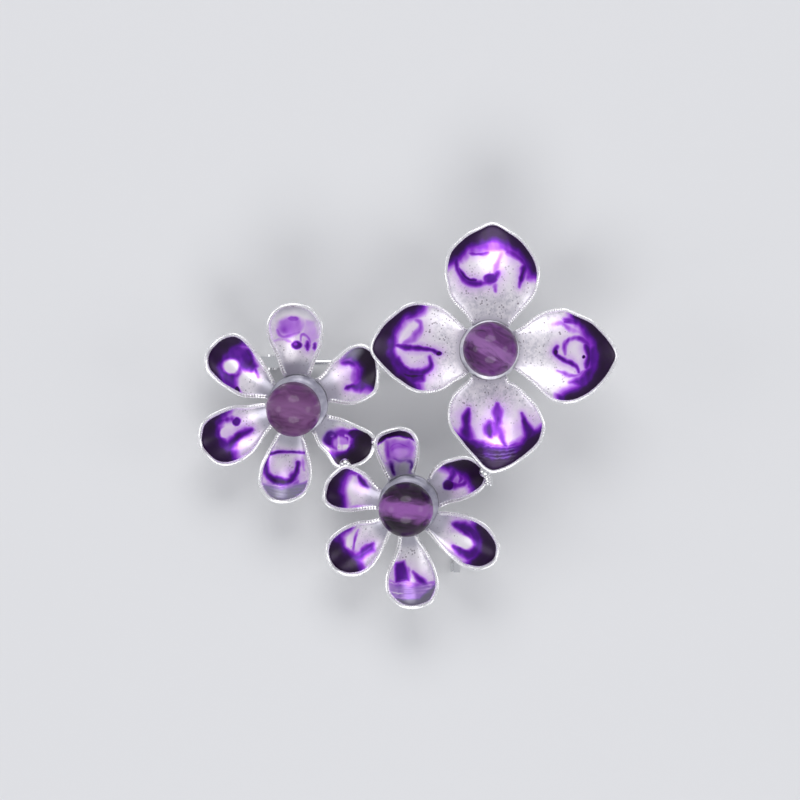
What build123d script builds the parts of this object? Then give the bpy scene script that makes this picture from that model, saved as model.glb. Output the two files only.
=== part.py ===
# Flower cluster brooch: three dished enamel flowers, each round a bead, on a hinged pin stem.
# Millimetres. +Z is out of the front of the brooch, which lies on its back on z = 0.
# +X runs along the pin stem toward its point. Origin: centre of the footprint of the whole
# brooch, on the plane it lies on.
import math
import os
from build123d import *

os.makedirs("parts", exist_ok=True)

# ---------------------------------------------------------------- driving dimensions
BEAD_R = 3.0            # round stone beads, 6 mm
BEAD_HOLE_R = 0.45      # blind hole in each bead
BEAD_HOLE_DEPTH = 3.6
HUB_R = 3.3             # silver disc under each bead
HUB_BELOW = 0.62        # hub goes this far under the petal floor
HUB_ABOVE = 0.35        # and this far above it
BED_R = 3.16            # clear bedding ring between hub and bead
BED_H = 0.90
FLOOR_T = 0.50          # silver under the enamel
RIM_H = 0.45            # rim above the petal floor
RIM_W = 0.36            # width of the rim, in plan
ENAMEL_H = 0.30         # depth of enamel in the petal

STEM_R = 0.35           # pin stem, 0.7 mm wire
STEM_Y = 5.874          # line of the pin stem
STEM_Z = 1.50           # height of the pin stem above the ground
HINGE_X = -14.868
STEM_TIP_X = 12.632
STEM_POINT = 4.6        # length of the sharpened end, which starts before the catch
STEM_FLAT_L = 1.8       # length hammered flat beside the eye
STEM_FLAT_H = 0.84      # height of the flattened length
EYE_R = 0.95            # flattened eye of the stem
EYE_T = 0.56
EAR_GAP = 0.62
EAR_T = 0.30
EAR_HALF = 1.05         # half width of an ear, along X
RIVET_R = 0.35
RIVET_CLEAR = 0.03
RIVET_HEAD_R = 0.62
RIVET_HEAD_T = 0.22

CATCH_X = 9.932         # middle of the catch
CATCH_L = 1.50          # length of the catch barrel along X
CATCH_R = 1.566         # outside of the barrel
ROTOR_R = 1.02          # outside of the rotor
ROTOR_CLEAR = 0.03
ROTOR_BORE = 0.50       # the tapered end of the stem lies in it
SLOT_HALF = 0.50        # half width of the entry slot
FLANGE_R = 1.28
FLANGE_T = 0.32
FLANGE_GAP = 0.05
TAB_REACH = 2.45        # thumb tab of the rotor, from its axis
TAB_W = 0.80

LINK_R = 0.20           # wire that ties the lower flower's tip to the large flower
LINK_FROM = (8.982, -5.116, 8.75)
LINK_TO = (9.052, -7.476, 8.30)
FOOT_AT = (5.372, -16.756)  # strip that props the lower flower off the ground
FOOT_W = 0.70
FOOT_D = 0.74
FOOT_T = 0.62
FOOT_IN = 2.3
# solder: petal above, petal below, place in plan, radius, then specks on the lower rim
SOLDER = [
    (("large", "west"), ("left", "ne"), (-3.458, 6.964), 0.62, ()),
    (("lower", "nw"), ("left", "se"), (-6.838, -5.256), 0.62, ()),
    (("large", "south"), ("lower", "ne"), (8.432, -6.066), 0.66,
     ((8.632, -6.716, 0.02, 0.40), (8.702, -7.256, -0.1, 0.36))),
    (("lower", "n"), ("left", "se"), (-3.518, -2.816), 0.50, ()),
]

# flower: centre of the bead in plan, height of the petal floor at the hub,
# lean of the flower in degrees, and the direction it leans toward
FLOWERS = {
    "large": ((8.999, 7.271), 6.20, 2.0, 45.0),
    "left": ((-12.470, 0.715), 3.90, 13.0, -130.0),
    "lower": ((-0.197, -10.216), 3.80, 11.0, -120.0),
}
# petal: curl along its length and dish across its width, both per mm squared
SHAPE = {
    ("large", "north"): (0.0235, 0.070), ("large", "east"): (0.0235, 0.070),
    ("large", "south"): (0.0230, 0.070), ("large", "west"): (0.0272, 0.070),
    ("left", "n"): (0.040, 0.180), ("left", "ne"): (0.0225, 0.140),
    ("left", "se"): (0.025, 0.105), ("left", "s"): (0.044, 0.180),
    ("left", "sw"): (0.044, 0.180), ("left", "nw"): (0.040, 0.180),
    ("lower", "n"): (0.055, 0.230), ("lower", "ne"): (0.049, 0.190),
    ("lower", "se"): (0.040, 0.180), ("lower", "s"): (0.042, 0.180),
    ("lower", "sw"): (0.044, 0.180), ("lower", "nw"): (0.049, 0.175),
}
CURL_FROM = 2.0         # the curl starts this far from the bead's centre
# petal outlines seen from above: direction of the petal from the bead's centre in degrees,
# then points (along the petal, across it) from one side of the base round the tip to the other
OUTLINES = {
    ("large", "north"): (90.16, [
        (2.97, 2.20), (4.07, 3.07), (4.83, 3.83), (5.82, 4.48), (7.02, 4.80), (8.44, 5.02),
        (9.53, 4.90), (10.83, 4.46), (11.81, 3.59), (12.63, 2.61), (13.12, 1.73), (13.55, 0.86),
        (13.88, -0.13), (13.66, -1.11), (13.00, -2.20), (12.23, -3.28), (11.03, -4.37),
        (9.72, -5.13), (8.19, -5.46), (6.99, -5.29), (5.68, -4.79), (4.70, -4.03), (3.83, -3.26),
        (2.96, -2.50),
    ]),
    ("large", "east"): (-4.02, [
        (2.44, 2.27), (3.07, 2.64), (3.80, 3.24), (4.62, 3.96), (5.67, 4.58), (6.74, 4.92),
        (7.72, 5.05), (8.72, 4.79), (9.84, 4.38), (10.86, 3.96), (11.90, 3.15), (12.83, 2.24),
        (13.56, 1.30), (13.95, 0.35), (13.80, -0.65), (13.23, -1.89), (12.44, -3.04),
        (11.42, -4.10), (10.38, -4.83), (9.21, -5.29), (8.01, -5.38), (7.01, -5.12), (6.10, -4.58),
        (5.40, -3.97), (4.58, -3.27), (3.67, -2.67), (2.75, -2.03),
    ]),
    ("large", "south"): (-86.49, [
        (3.59, 1.94), (3.96, 2.58), (4.78, 3.40), (5.59, 4.12), (6.61, 4.82), (7.51, 5.20),
        (8.51, 5.47), (9.59, 5.29), (10.76, 4.67), (11.57, 3.75), (12.38, 2.61), (13.07, 1.36),
        (13.44, 0.25), (13.49, -0.74), (13.11, -1.48), (12.30, -2.20), (11.39, -2.91),
        (10.35, -3.72), (9.44, -4.32), (8.65, -4.81), (7.42, -5.12), (6.34, -5.06), (5.26, -4.72),
        (4.53, -4.23), (3.81, -3.43), (3.31, -2.74),
    ]),
    ("large", "west"): (179.19, [
        (2.60, 2.96), (3.14, 3.30), (3.90, 3.74), (4.65, 4.30), (5.63, 4.75), (6.61, 4.93),
        (7.59, 4.94), (8.57, 4.68), (9.56, 4.10), (10.56, 3.40), (11.55, 2.49), (12.33, 1.68),
        (12.88, 0.98), (13.16, 0.27), (13.02, -0.71), (12.38, -1.92), (11.63, -2.91),
        (10.77, -3.69), (9.80, -4.47), (8.93, -4.91), (8.06, -5.09), (6.86, -5.00), (5.76, -4.74),
        (4.77, -4.21), (4.11, -3.67), (3.34, -2.92), (2.67, -2.28),
    ]),
    ("left", "n"): (88.25, [
        (2.63, 0.78), (3.27, 1.07), (4.03, 1.48), (5.32, 1.95), (6.40, 2.42), (7.37, 2.89),
        (8.45, 3.19), (9.43, 3.17), (10.32, 2.76), (11.10, 2.02), (11.46, 1.16), (11.59, 0.29),
        (11.46, -0.70), (11.16, -1.58), (10.36, -2.37), (9.40, -2.94), (8.31, -3.03),
        (7.11, -2.90), (6.00, -2.56), (5.12, -2.20), (4.13, -1.90), (3.36, -1.60), (2.80, -1.40),
    ]),
    ("left", "ne"): (29.85, [
        (3.45, 1.71), (4.23, 1.76), (5.12, 2.00), (6.03, 2.49), (7.02, 2.68), (8.01, 2.86),
        (8.91, 2.91), (9.69, 2.72), (10.39, 2.19), (10.81, 1.38), (10.84, 0.35), (10.49, -0.70),
        (9.95, -1.65), (9.42, -2.35), (8.85, -2.90), (8.10, -3.10), (7.10, -3.10), (6.09, -2.89),
        (5.21, -2.45), (4.35, -1.76), (3.64, -1.24), (3.08, -0.91),
    ]),
    ("left", "se"): (-32.63, [
        (2.79, 1.43), (3.70, 1.63), (4.55, 1.92), (5.55, 2.17), (6.62, 2.33), (7.68, 2.49),
        (8.44, 2.53), (9.17, 2.28), (9.69, 1.58), (9.99, 0.60), (9.89, -0.36), (9.45, -1.29),
        (8.80, -2.10), (8.01, -2.67), (7.25, -2.90), (6.25, -2.56), (5.38, -2.21), (4.63, -2.05),
        (3.85, -1.64), (3.16, -1.18),
    ]),
    ("left", "s"): (-97.34, [
        (2.64, 1.45), (3.15, 1.79), (3.98, 2.12), (4.93, 2.46), (5.88, 2.75), (6.96, 2.94),
        (8.07, 2.86), (8.99, 2.54), (9.68, 1.86), (10.19, 0.94), (10.42, -0.02), (10.37, -0.91),
        (9.98, -1.73), (9.29, -2.37), (8.58, -2.79), (7.60, -2.91), (6.49, -2.84), (5.46, -2.53),
        (4.54, -2.21), (3.73, -1.87), (2.91, -1.54),
    ]),
    ("left", "sw"): (-157.72, [
        (3.22, 1.12), (3.83, 1.46), (4.66, 2.06), (5.60, 2.62), (6.70, 3.00), (7.71, 3.17),
        (8.75, 3.10), (9.65, 2.73), (10.34, 2.09), (10.80, 1.20), (11.11, 0.24), (10.99, -0.77),
        (10.57, -1.65), (9.89, -2.44), (8.90, -2.86), (7.78, -2.99), (6.61, -2.98), (5.52, -2.77),
        (4.51, -2.35), (3.54, -2.13), (2.59, -1.86),
    ]),
    ("left", "nw"): (141.93, [
        (3.22, 1.09), (3.77, 1.45), (4.57, 2.02), (5.53, 2.56), (6.64, 2.74), (7.79, 2.87),
        (9.10, 2.79), (10.15, 2.50), (10.93, 1.87), (11.43, 0.87), (11.45, -0.22), (11.25, -1.20),
        (10.80, -2.04), (10.06, -2.69), (9.11, -2.89), (8.03, -2.76), (6.98, -2.47), (6.08, -2.21),
        (5.11, -1.86), (4.08, -1.42), (3.20, -1.00),
    ]),
    ("lower", "n"): (98.75, [
        (2.78, 1.22), (3.14, 1.38), (3.96, 1.70), (5.00, 1.98), (6.03, 2.26), (7.16, 2.42),
        (8.02, 2.29), (8.60, 1.76), (8.92, 0.93), (9.06, 0.03), (9.05, -0.74), (8.75, -1.58),
        (8.10, -2.25), (7.06, -2.53), (5.97, -2.42), (4.91, -2.15), (3.98, -1.73), (3.15, -1.38),
        (2.63, -1.19),
    ]),
    ("lower", "ne"): (29.91, [
        (2.73, 1.01), (3.14, 1.28), (3.60, 1.64), (4.47, 2.28), (5.36, 2.52), (6.30, 2.61),
        (7.19, 2.41), (8.05, 2.16), (8.72, 1.78), (9.31, 1.06), (9.67, 0.16), (9.77, -0.65),
        (9.48, -1.49), (8.91, -2.04), (8.26, -2.30), (7.44, -2.40), (6.47, -2.34), (5.55, -2.19),
        (4.69, -1.94), (4.01, -1.80), (3.40, -1.77),
    ]),
    ("lower", "se"): (-28.13, [
        (3.38, 1.56), (4.25, 2.02), (5.29, 2.39), (6.38, 2.67), (7.43, 2.79), (8.60, 2.68),
        (9.68, 2.27), (10.63, 1.66), (11.24, 0.75), (11.41, -0.27), (11.05, -1.21), (10.34, -1.96),
        (9.45, -2.37), (8.45, -2.60), (7.40, -2.48), (6.29, -2.26), (5.26, -1.95), (4.18, -1.54),
        (3.24, -1.18), (2.65, -1.00),
    ]),
    ("lower", "s"): (-85.05, [
        (2.78, 1.08), (3.34, 1.25), (4.26, 1.72), (5.28, 2.18), (6.19, 2.54), (7.31, 2.83),
        (8.52, 2.89), (9.59, 2.57), (10.41, 1.96), (10.82, 1.04), (10.95, 0.05), (10.88, -0.82),
        (10.41, -1.77), (9.70, -2.47), (8.78, -2.94), (7.90, -2.97), (6.82, -2.77), (5.77, -2.24),
        (4.83, -1.72), (3.77, -1.30), (2.81, -1.11),
    ]),
    ("lower", "sw"): (-142.6, [
        (2.91, 1.14), (4.08, 1.76), (5.02, 2.27), (6.17, 2.70), (7.27, 2.89), (8.26, 2.75),
        (9.14, 2.28), (9.86, 1.60), (10.29, 0.72), (10.41, -0.20), (10.18, -1.12), (9.63, -1.94),
        (8.77, -2.52), (7.67, -2.70), (6.61, -2.65), (5.57, -2.40), (4.65, -1.98), (3.81, -1.47),
        (2.98, -1.11),
    ]),
    ("lower", "nw"): (161.55, [
        (2.96, 1.10), (3.89, 1.41), (4.78, 1.83), (5.68, 2.24), (6.63, 2.50), (7.65, 2.55),
        (8.54, 2.28), (9.08, 1.71), (9.29, 0.74), (9.29, -0.29), (8.91, -1.23), (8.39, -2.09),
        (7.75, -2.59), (6.73, -2.64), (5.77, -2.50), (4.85, -2.18), (3.97, -1.61), (3.04, -1.23),
    ]),
}


# ---------------------------------------------------------------- helpers
def single(shape):
    """The solids of a result as one solid, or one compound when there are several."""
    solids = list(shape.solids())
    if not solids:
        raise RuntimeError("an operation left nothing behind")
    return solids[0] if len(solids) == 1 else Compound(children=solids)


def normal_of(lean, toward):
    """Unit normal of a flower that leans toward a direction."""
    s = math.sin(math.radians(lean))
    return (s * math.cos(math.radians(toward)), s * math.sin(math.radians(toward)),
            math.cos(math.radians(lean)))


def inset(points, gap):
    """Move an outline inward by a gap, leaving the two base points open to the hub."""
    out = []
    n = len(points)
    for i, (u, v) in enumerate(points):
        a = points[max(i - 1, 0)]
        b = points[min(i + 1, n - 1)]
        tu, tv = b[0] - a[0], b[1] - a[1]
        length = math.hypot(tu, tv)
        out.append((u - gap * -tv / length, v - gap * tu / length))
    return out


class Petal:
    """One dished petal, set in a flower."""

    def __init__(self, flower, name):
        (bx, by), z0, lean, toward = FLOWERS[flower]
        nx, ny, nz = normal_of(lean, toward)
        reach = HUB_ABOVE + BEAD_R
        self.bead = (bx, by)
        self.hub = (bx - nx * reach, by - ny * reach)
        self.slope = (-nx / nz, -ny / nz)
        self.z0 = z0
        self.curl, self.dish = SHAPE[(flower, name)]
        angle, self.points = OUTLINES[(flower, name)]
        self.c, self.s = math.cos(math.radians(angle)), math.sin(math.radians(angle))

    def to_world(self, u, v):
        return (self.bead[0] + u * self.c - v * self.s, self.bead[1] + u * self.s + v * self.c)

    def height(self, u, v):
        x, y = self.to_world(u, v)
        tilt = self.slope[0] * (x - self.hub[0]) + self.slope[1] * (y - self.hub[1])
        return self.z0 + tilt + self.curl * (u - CURL_FROM) ** 2 + self.dish * v * v

    def sheet(self, shift):
        """The petal's floor surface as one exact second-degree patch, raised by shift."""
        u0, u1, v0, v1 = 0.5, 15.5, -6.8, 6.8
        du, dv = u1 - u0, v1 - v0
        grid = []
        for i, u in enumerate((u0, (u0 + u1) / 2, u1)):
            row = []
            for j, v in enumerate((v0, 0.0, v1)):
                x, y = self.to_world(u, v)
                z = self.height(u, v)
                if i == 1:
                    z -= self.curl * du * du / 4
                if j == 1:
                    z -= self.dish * dv * dv / 4
                row.append((x, y, z + shift))
            grid.append(row)
        return Face.make_bezier_surface(grid)

    def prism(self, points):
        """Upright prism over an outline, run in under the hub."""
        inner = [(1.0, points[-1][1] * 0.55), (1.0, points[0][1] * 0.55)]
        path = [Vector(*self.to_world(u, v), -5) for u, v in points]
        curve = Edge.make_spline(path)
        a, b = [Vector(*self.to_world(u, v), -5) for u, v in inner]
        wire = Wire([curve, Edge.make_line(path[-1], a), Edge.make_line(a, b),
                     Edge.make_line(b, path[0])])
        return Solid.extrude(Face(wire), Vector(0, 0, 30))

    def slab(self, low, high):
        """Everything between the floor surface raised by low and by high."""
        return Solid.extrude(self.sheet(low), Vector(0, 0, high - low))

    def hub_core(self):
        return Pos(self.hub[0], self.hub[1], 10) * Cylinder(HUB_R, 40)

    def shell(self):
        body = self.slab(-FLOOR_T, RIM_H) & self.prism(self.points)
        recess = self.slab(0, 6) & self.prism(inset(self.points, RIM_W))
        return single(body - recess - self.hub_core())

    def enamel(self):
        return single((self.slab(0, ENAMEL_H) & self.prism(inset(self.points, RIM_W)))
                      - self.hub_core())


def flower_plane(flower):
    (bx, by), z0, lean, toward = FLOWERS[flower]
    n = normal_of(lean, toward)
    reach = HUB_ABOVE + BEAD_R
    return Plane(origin=(bx - n[0] * reach, by - n[1] * reach, z0), x_dir=(n[2], 0, -n[0]), z_dir=n)


def hub(flower):
    """Disc under the bead: upright wall, faces parallel to the flower."""
    pl = flower_plane(flower)
    core = Pos(pl.origin.X, pl.origin.Y, 10) * Cylinder(HUB_R, 40)
    slab = pl * Pos(0, 0, (HUB_ABOVE - HUB_BELOW) / 2) * Box(12, 12, HUB_ABOVE + HUB_BELOW)
    return single(core & slab)


def bead(flower):
    ball = Pos(0, 0, HUB_ABOVE + BEAD_R) * Sphere(BEAD_R)
    hole = Pos(0, 0, HUB_ABOVE + BEAD_HOLE_DEPTH / 2) * Cylinder(BEAD_HOLE_R, BEAD_HOLE_DEPTH)
    return single(flower_plane(flower) * (ball - hole))


def post(flower):
    return single(flower_plane(flower) * (Pos(0, 0, HUB_ABOVE + BEAD_HOLE_DEPTH / 2)
                                          * Cylinder(BEAD_HOLE_R, BEAD_HOLE_DEPTH)))


def bedding(flower):
    ring = Pos(0, 0, HUB_ABOVE + BED_H / 2) * (Cylinder(BED_R, BED_H) - Cylinder(BEAD_HOLE_R, BED_H))
    ball = Pos(0, 0, HUB_ABOVE + BEAD_R) * Sphere(BEAD_R)
    return single(flower_plane(flower) * (ring - ball))


def along_x(radius, x0, x1, y=STEM_Y, z=STEM_Z):
    return Pos((x0 + x1) / 2, y, z) * (Rot(0, 90, 0) * Cylinder(radius, x1 - x0))


def along_y(radius, y0, y1, x, z):
    return Pos(x, (y0 + y1) / 2, z) * (Rot(90, 0, 0) * Cylinder(radius, y1 - y0))


# ---------------------------------------------------------------- flowers
nodes = {}
petals = {}
for (flower, name) in OUTLINES:
    p = Petal(flower, name)
    petals[(flower, name)] = p
    nodes[f"{flower}_petal_{name}"] = p.shell()
    nodes[f"{flower}_enamel_{name}"] = p.enamel()
for flower in FLOWERS:
    nodes[f"{flower}_hub"] = hub(flower)
    nodes[f"{flower}_bead"] = bead(flower)
    nodes[f"{flower}_bead_post"] = post(flower)
    nodes[f"{flower}_bedding"] = bedding(flower)


def trim(shape, *names):
    """Cope a piece against the undersides and rims it is soldered to."""
    for key in names:
        shape = shape - nodes[key]
    return shape


# ---------------------------------------------------------------- pin stem and hinge
y_in = EAR_GAP / 2
stem = along_x(STEM_R, HINGE_X + STEM_FLAT_L, STEM_TIP_X - STEM_POINT)
stem += Pos(STEM_TIP_X - STEM_POINT / 2, STEM_Y, STEM_Z) * (
    Rot(0, 90, 0) * Cone(STEM_R, 0.05, STEM_POINT))
eye = along_y(EYE_R, STEM_Y - EYE_T / 2, STEM_Y + EYE_T / 2, HINGE_X, STEM_Z)
# the wire is hammered flat, and so spreads, where it runs out of the ears
flat = Pos(HINGE_X + STEM_FLAT_L / 2, STEM_Y, STEM_Z) * Box(STEM_FLAT_L, EYE_T, STEM_FLAT_H)
flat = fillet(flat.edges().filter_by(Axis.X), 0.12)
stem = eye + flat + stem
stem -= along_y(RIVET_R + RIVET_CLEAR, STEM_Y - 2, STEM_Y + 2, HINGE_X, STEM_Z)
nodes["pin_stem"] = single(stem)

EAR_TOP = 3.35
BASE_TOP = 6.4
outer = y_in + EAR_T
ear_plate = Pos(HINGE_X, STEM_Y, EAR_TOP / 2) * Box(2 * EAR_HALF, 2 * outer, EAR_TOP)
ear_plate = fillet(ear_plate.edges().filter_by(Axis.Y).group_by(Axis.Z)[0], 0.75)
ear_plate -= Pos(HINGE_X, STEM_Y, EAR_TOP / 2 - 0.3) * Box(4, EAR_GAP, EAR_TOP)
foot_block = Pos(HINGE_X, STEM_Y, (EAR_TOP - 0.3 + BASE_TOP) / 2) * Box(
    3.2, 2 * outer, BASE_TOP - EAR_TOP + 0.3)
bracket = ear_plate + foot_block
bracket -= along_y(RIVET_R, STEM_Y - 2, STEM_Y + 2, HINGE_X, STEM_Z)
# everything above the petals' undersides is taken away
for key in (("left", "nw"), ("left", "n")):
    p = petals[key]
    bracket -= p.slab(-FLOOR_T, 12) & p.prism(p.points)
bracket -= Pos(HINGE_X, STEM_Y, 4.75 + 5) * Box(8, 8, 10)
nodes["hinge_bracket"] = single(bracket)

rivet = along_y(RIVET_R, STEM_Y - outer, STEM_Y + outer, HINGE_X, STEM_Z)
rivet += along_y(RIVET_HEAD_R, STEM_Y + outer, STEM_Y + outer + RIVET_HEAD_T, HINGE_X, STEM_Z)
rivet += along_y(RIVET_HEAD_R, STEM_Y - outer - RIVET_HEAD_T, STEM_Y - outer, HINGE_X, STEM_Z)
nodes["hinge_rivet"] = single(rivet)

# ---------------------------------------------------------------- catch
x0, x1 = CATCH_X - CATCH_L / 2, CATCH_X + CATCH_L / 2
barrel = along_x(CATCH_R, x0, x1)
column = Pos(CATCH_X, STEM_Y, STEM_Z + 2.6) * Box(CATCH_L, 1.7, 5.2)
pl = flower_plane("large")
catch_body = barrel + column
catch_body -= along_x(ROTOR_R + ROTOR_CLEAR, x0 - 1, x1 + 1)
catch_body -= Pos(CATCH_X, STEM_Y, STEM_Z - 2) * Box(CATCH_L + 2, 2 * SLOT_HALF, 4)
catch_body -= pl * Pos(0, 0, -HUB_BELOW + 10) * Box(40, 40, 20)
nodes["catch_body"] = single(catch_body)

rotor = along_x(ROTOR_R, x0 - FLANGE_GAP - FLANGE_T, x1 + FLANGE_GAP + FLANGE_T)
rotor += along_x(FLANGE_R, x0 - FLANGE_GAP - FLANGE_T, x0 - FLANGE_GAP)
rotor += along_x(FLANGE_R, x1 + FLANGE_GAP, x1 + FLANGE_GAP + FLANGE_T)
tab = Pos(x1 + FLANGE_GAP + FLANGE_T / 2, STEM_Y + TAB_REACH / 2, STEM_Z) * Box(
    FLANGE_T, TAB_REACH, TAB_W)
tab = fillet(tab.edges().filter_by(Axis.X).group_by(Axis.Y)[-1], 0.3)
rotor += tab
rotor -= along_x(ROTOR_BORE, x0 - 2, x1 + 2)
rotor -= Pos(CATCH_X, STEM_Y, STEM_Z - 2) * Box(CATCH_L + 4, 2 * SLOT_HALF, 4)
nodes["catch_rotor"] = single(rotor)

# ---------------------------------------------------------------- link wire and foot
def rod(a, b, radius):
    """Round-ended wire from a to b."""
    a, b = Vector(*a), Vector(*b)
    wire = Plane(origin=a, z_dir=b - a) * Pos(0, 0, (b - a).length / 2) * Cylinder(
        radius, (b - a).length)
    return wire + Pos(*b) * Sphere(radius)


link = rod(LINK_FROM, LINK_TO, LINK_R)
for key in (("large", "south"), ("lower", "ne")):
    p = petals[key]
    link -= p.slab(-FLOOR_T, 12) & p.prism(p.points)
nodes["link_wire"] = single(link)

fx, fy = FOOT_AT
leg = Pos(fx, fy, 2.2) * Box(FOOT_W, FOOT_D, 4.4)
leg = fillet(leg.edges().filter_by(Axis.X).group_by(Axis.Z)[0], 0.2)
leg += Pos(fx, fy + FOOT_IN / 2, 4.4 - FOOT_T / 2) * Box(FOOT_W, FOOT_IN + FOOT_D, FOOT_T)
leaf = Pos(fx - FOOT_W / 2 - 0.22, fy + 0.18, 2.0) * Box(0.20, FOOT_D + 0.2, 3.6)
leaf += Pos(fx - FOOT_W / 2 - 0.16, fy + 0.18, 1.2) * Box(0.34, FOOT_D + 0.2, 2.0)
leg += leaf
p = petals[("lower", "se")]
leg -= p.slab(-FLOOR_T, 12) & p.prism(p.points)
nodes["foot_strip"] = single(leg)


# ---------------------------------------------------------------- solder at the touching rims
def solder(upper, lower, at, r, specks=()):
    """A bead of solder between the underside of one petal and the rim of the one below."""
    up, low = petals[upper], petals[lower]

    def local(p, x, y):
        dx, dy = x - p.bead[0], y - p.bead[1]
        return p.height(dx * p.c + dy * p.s, -dx * p.s + dy * p.c)

    z = (local(up, *at) - FLOOR_T + local(low, *at) + RIM_H) / 2
    lump = Pos(at[0], at[1], z) * Sphere(r)
    for x, y, dz, rs in specks:
        lump += Pos(x, y, local(low, x, y) + RIM_H + dz) * Sphere(rs)
    for p in (up, low):
        lump -= p.slab(-FLOOR_T, RIM_H) & p.prism(p.points)
    parts = sorted(lump.solids(), key=lambda s: -s.volume)
    return parts


for number, (upper, lower, at, r, specks) in enumerate(SOLDER, 1):
    pieces = solder(upper, lower, at, r, specks)
    print("solder", number, [round(s.volume, 4) for s in pieces])
    nodes[f"solder_joint_{number}"] = pieces[0]
nodes["link_wire"] = single(nodes["link_wire"] - nodes["solder_joint_3"])

for key, shape in nodes.items():
    export_step(shape, f"parts/{key}.step")
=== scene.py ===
import math
import bpy
import numpy as np
from mathutils import Vector, Matrix


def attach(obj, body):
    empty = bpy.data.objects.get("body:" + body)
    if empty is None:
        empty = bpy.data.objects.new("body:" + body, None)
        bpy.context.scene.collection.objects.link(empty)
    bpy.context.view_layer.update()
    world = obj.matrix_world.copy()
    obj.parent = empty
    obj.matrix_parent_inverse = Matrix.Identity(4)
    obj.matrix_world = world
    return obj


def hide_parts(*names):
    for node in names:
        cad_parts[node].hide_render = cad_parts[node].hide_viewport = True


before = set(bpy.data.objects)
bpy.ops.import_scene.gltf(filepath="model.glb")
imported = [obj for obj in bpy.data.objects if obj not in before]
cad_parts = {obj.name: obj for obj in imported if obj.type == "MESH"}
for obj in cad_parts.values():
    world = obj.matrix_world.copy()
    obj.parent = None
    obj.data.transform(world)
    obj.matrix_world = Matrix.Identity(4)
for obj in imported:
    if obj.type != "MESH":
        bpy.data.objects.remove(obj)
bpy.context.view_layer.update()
MM = 0.001
RNG = np.random.default_rng(11)

# ------------------------------------------------------------------ the flowers
# The design grid: one unit is 0.10909 mm, x to the right and y down the page.
UNIT = 6.0 / 55.0
GX, GY = 408.0, 416.0
SHIFT = (0.032, -0.016)


def from_grid(x, y):
    return ((x - GX) * UNIT + SHIFT[0], (GY - y) * UNIT + SHIFT[1])


BEAD_R, HUB_R, HUB_ABOVE, HUB_BELOW = 3.0, 3.3, 0.35, 0.62
FLOOR_T, RIM_H, RIM_W, ENAMEL_H = 0.50, 0.45, 0.36, 0.30
CURL_FROM = 2.0
FLOWERS = {
    "large": ((8.999, 7.271), 6.20, 2.0, 45.0),
    "left": ((-12.470, 0.715), 3.90, 13.0, -130.0),
    "lower": ((-0.197, -10.216), 3.80, 11.0, -120.0),
}
SHAPE = {
    ("large", "north"): (0.0235, 0.070), ("large", "east"): (0.0235, 0.070),
    ("large", "south"): (0.0230, 0.070), ("large", "west"): (0.0272, 0.070),
    ("left", "n"): (0.040, 0.180), ("left", "ne"): (0.0225, 0.140),
    ("left", "se"): (0.025, 0.105), ("left", "s"): (0.044, 0.180),
    ("left", "sw"): (0.044, 0.180), ("left", "nw"): (0.040, 0.180),
    ("lower", "n"): (0.055, 0.230), ("lower", "ne"): (0.049, 0.190),
    ("lower", "se"): (0.040, 0.180), ("lower", "s"): (0.042, 0.180),
    ("lower", "sw"): (0.044, 0.180), ("lower", "nw"): (0.049, 0.175),
}
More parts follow.
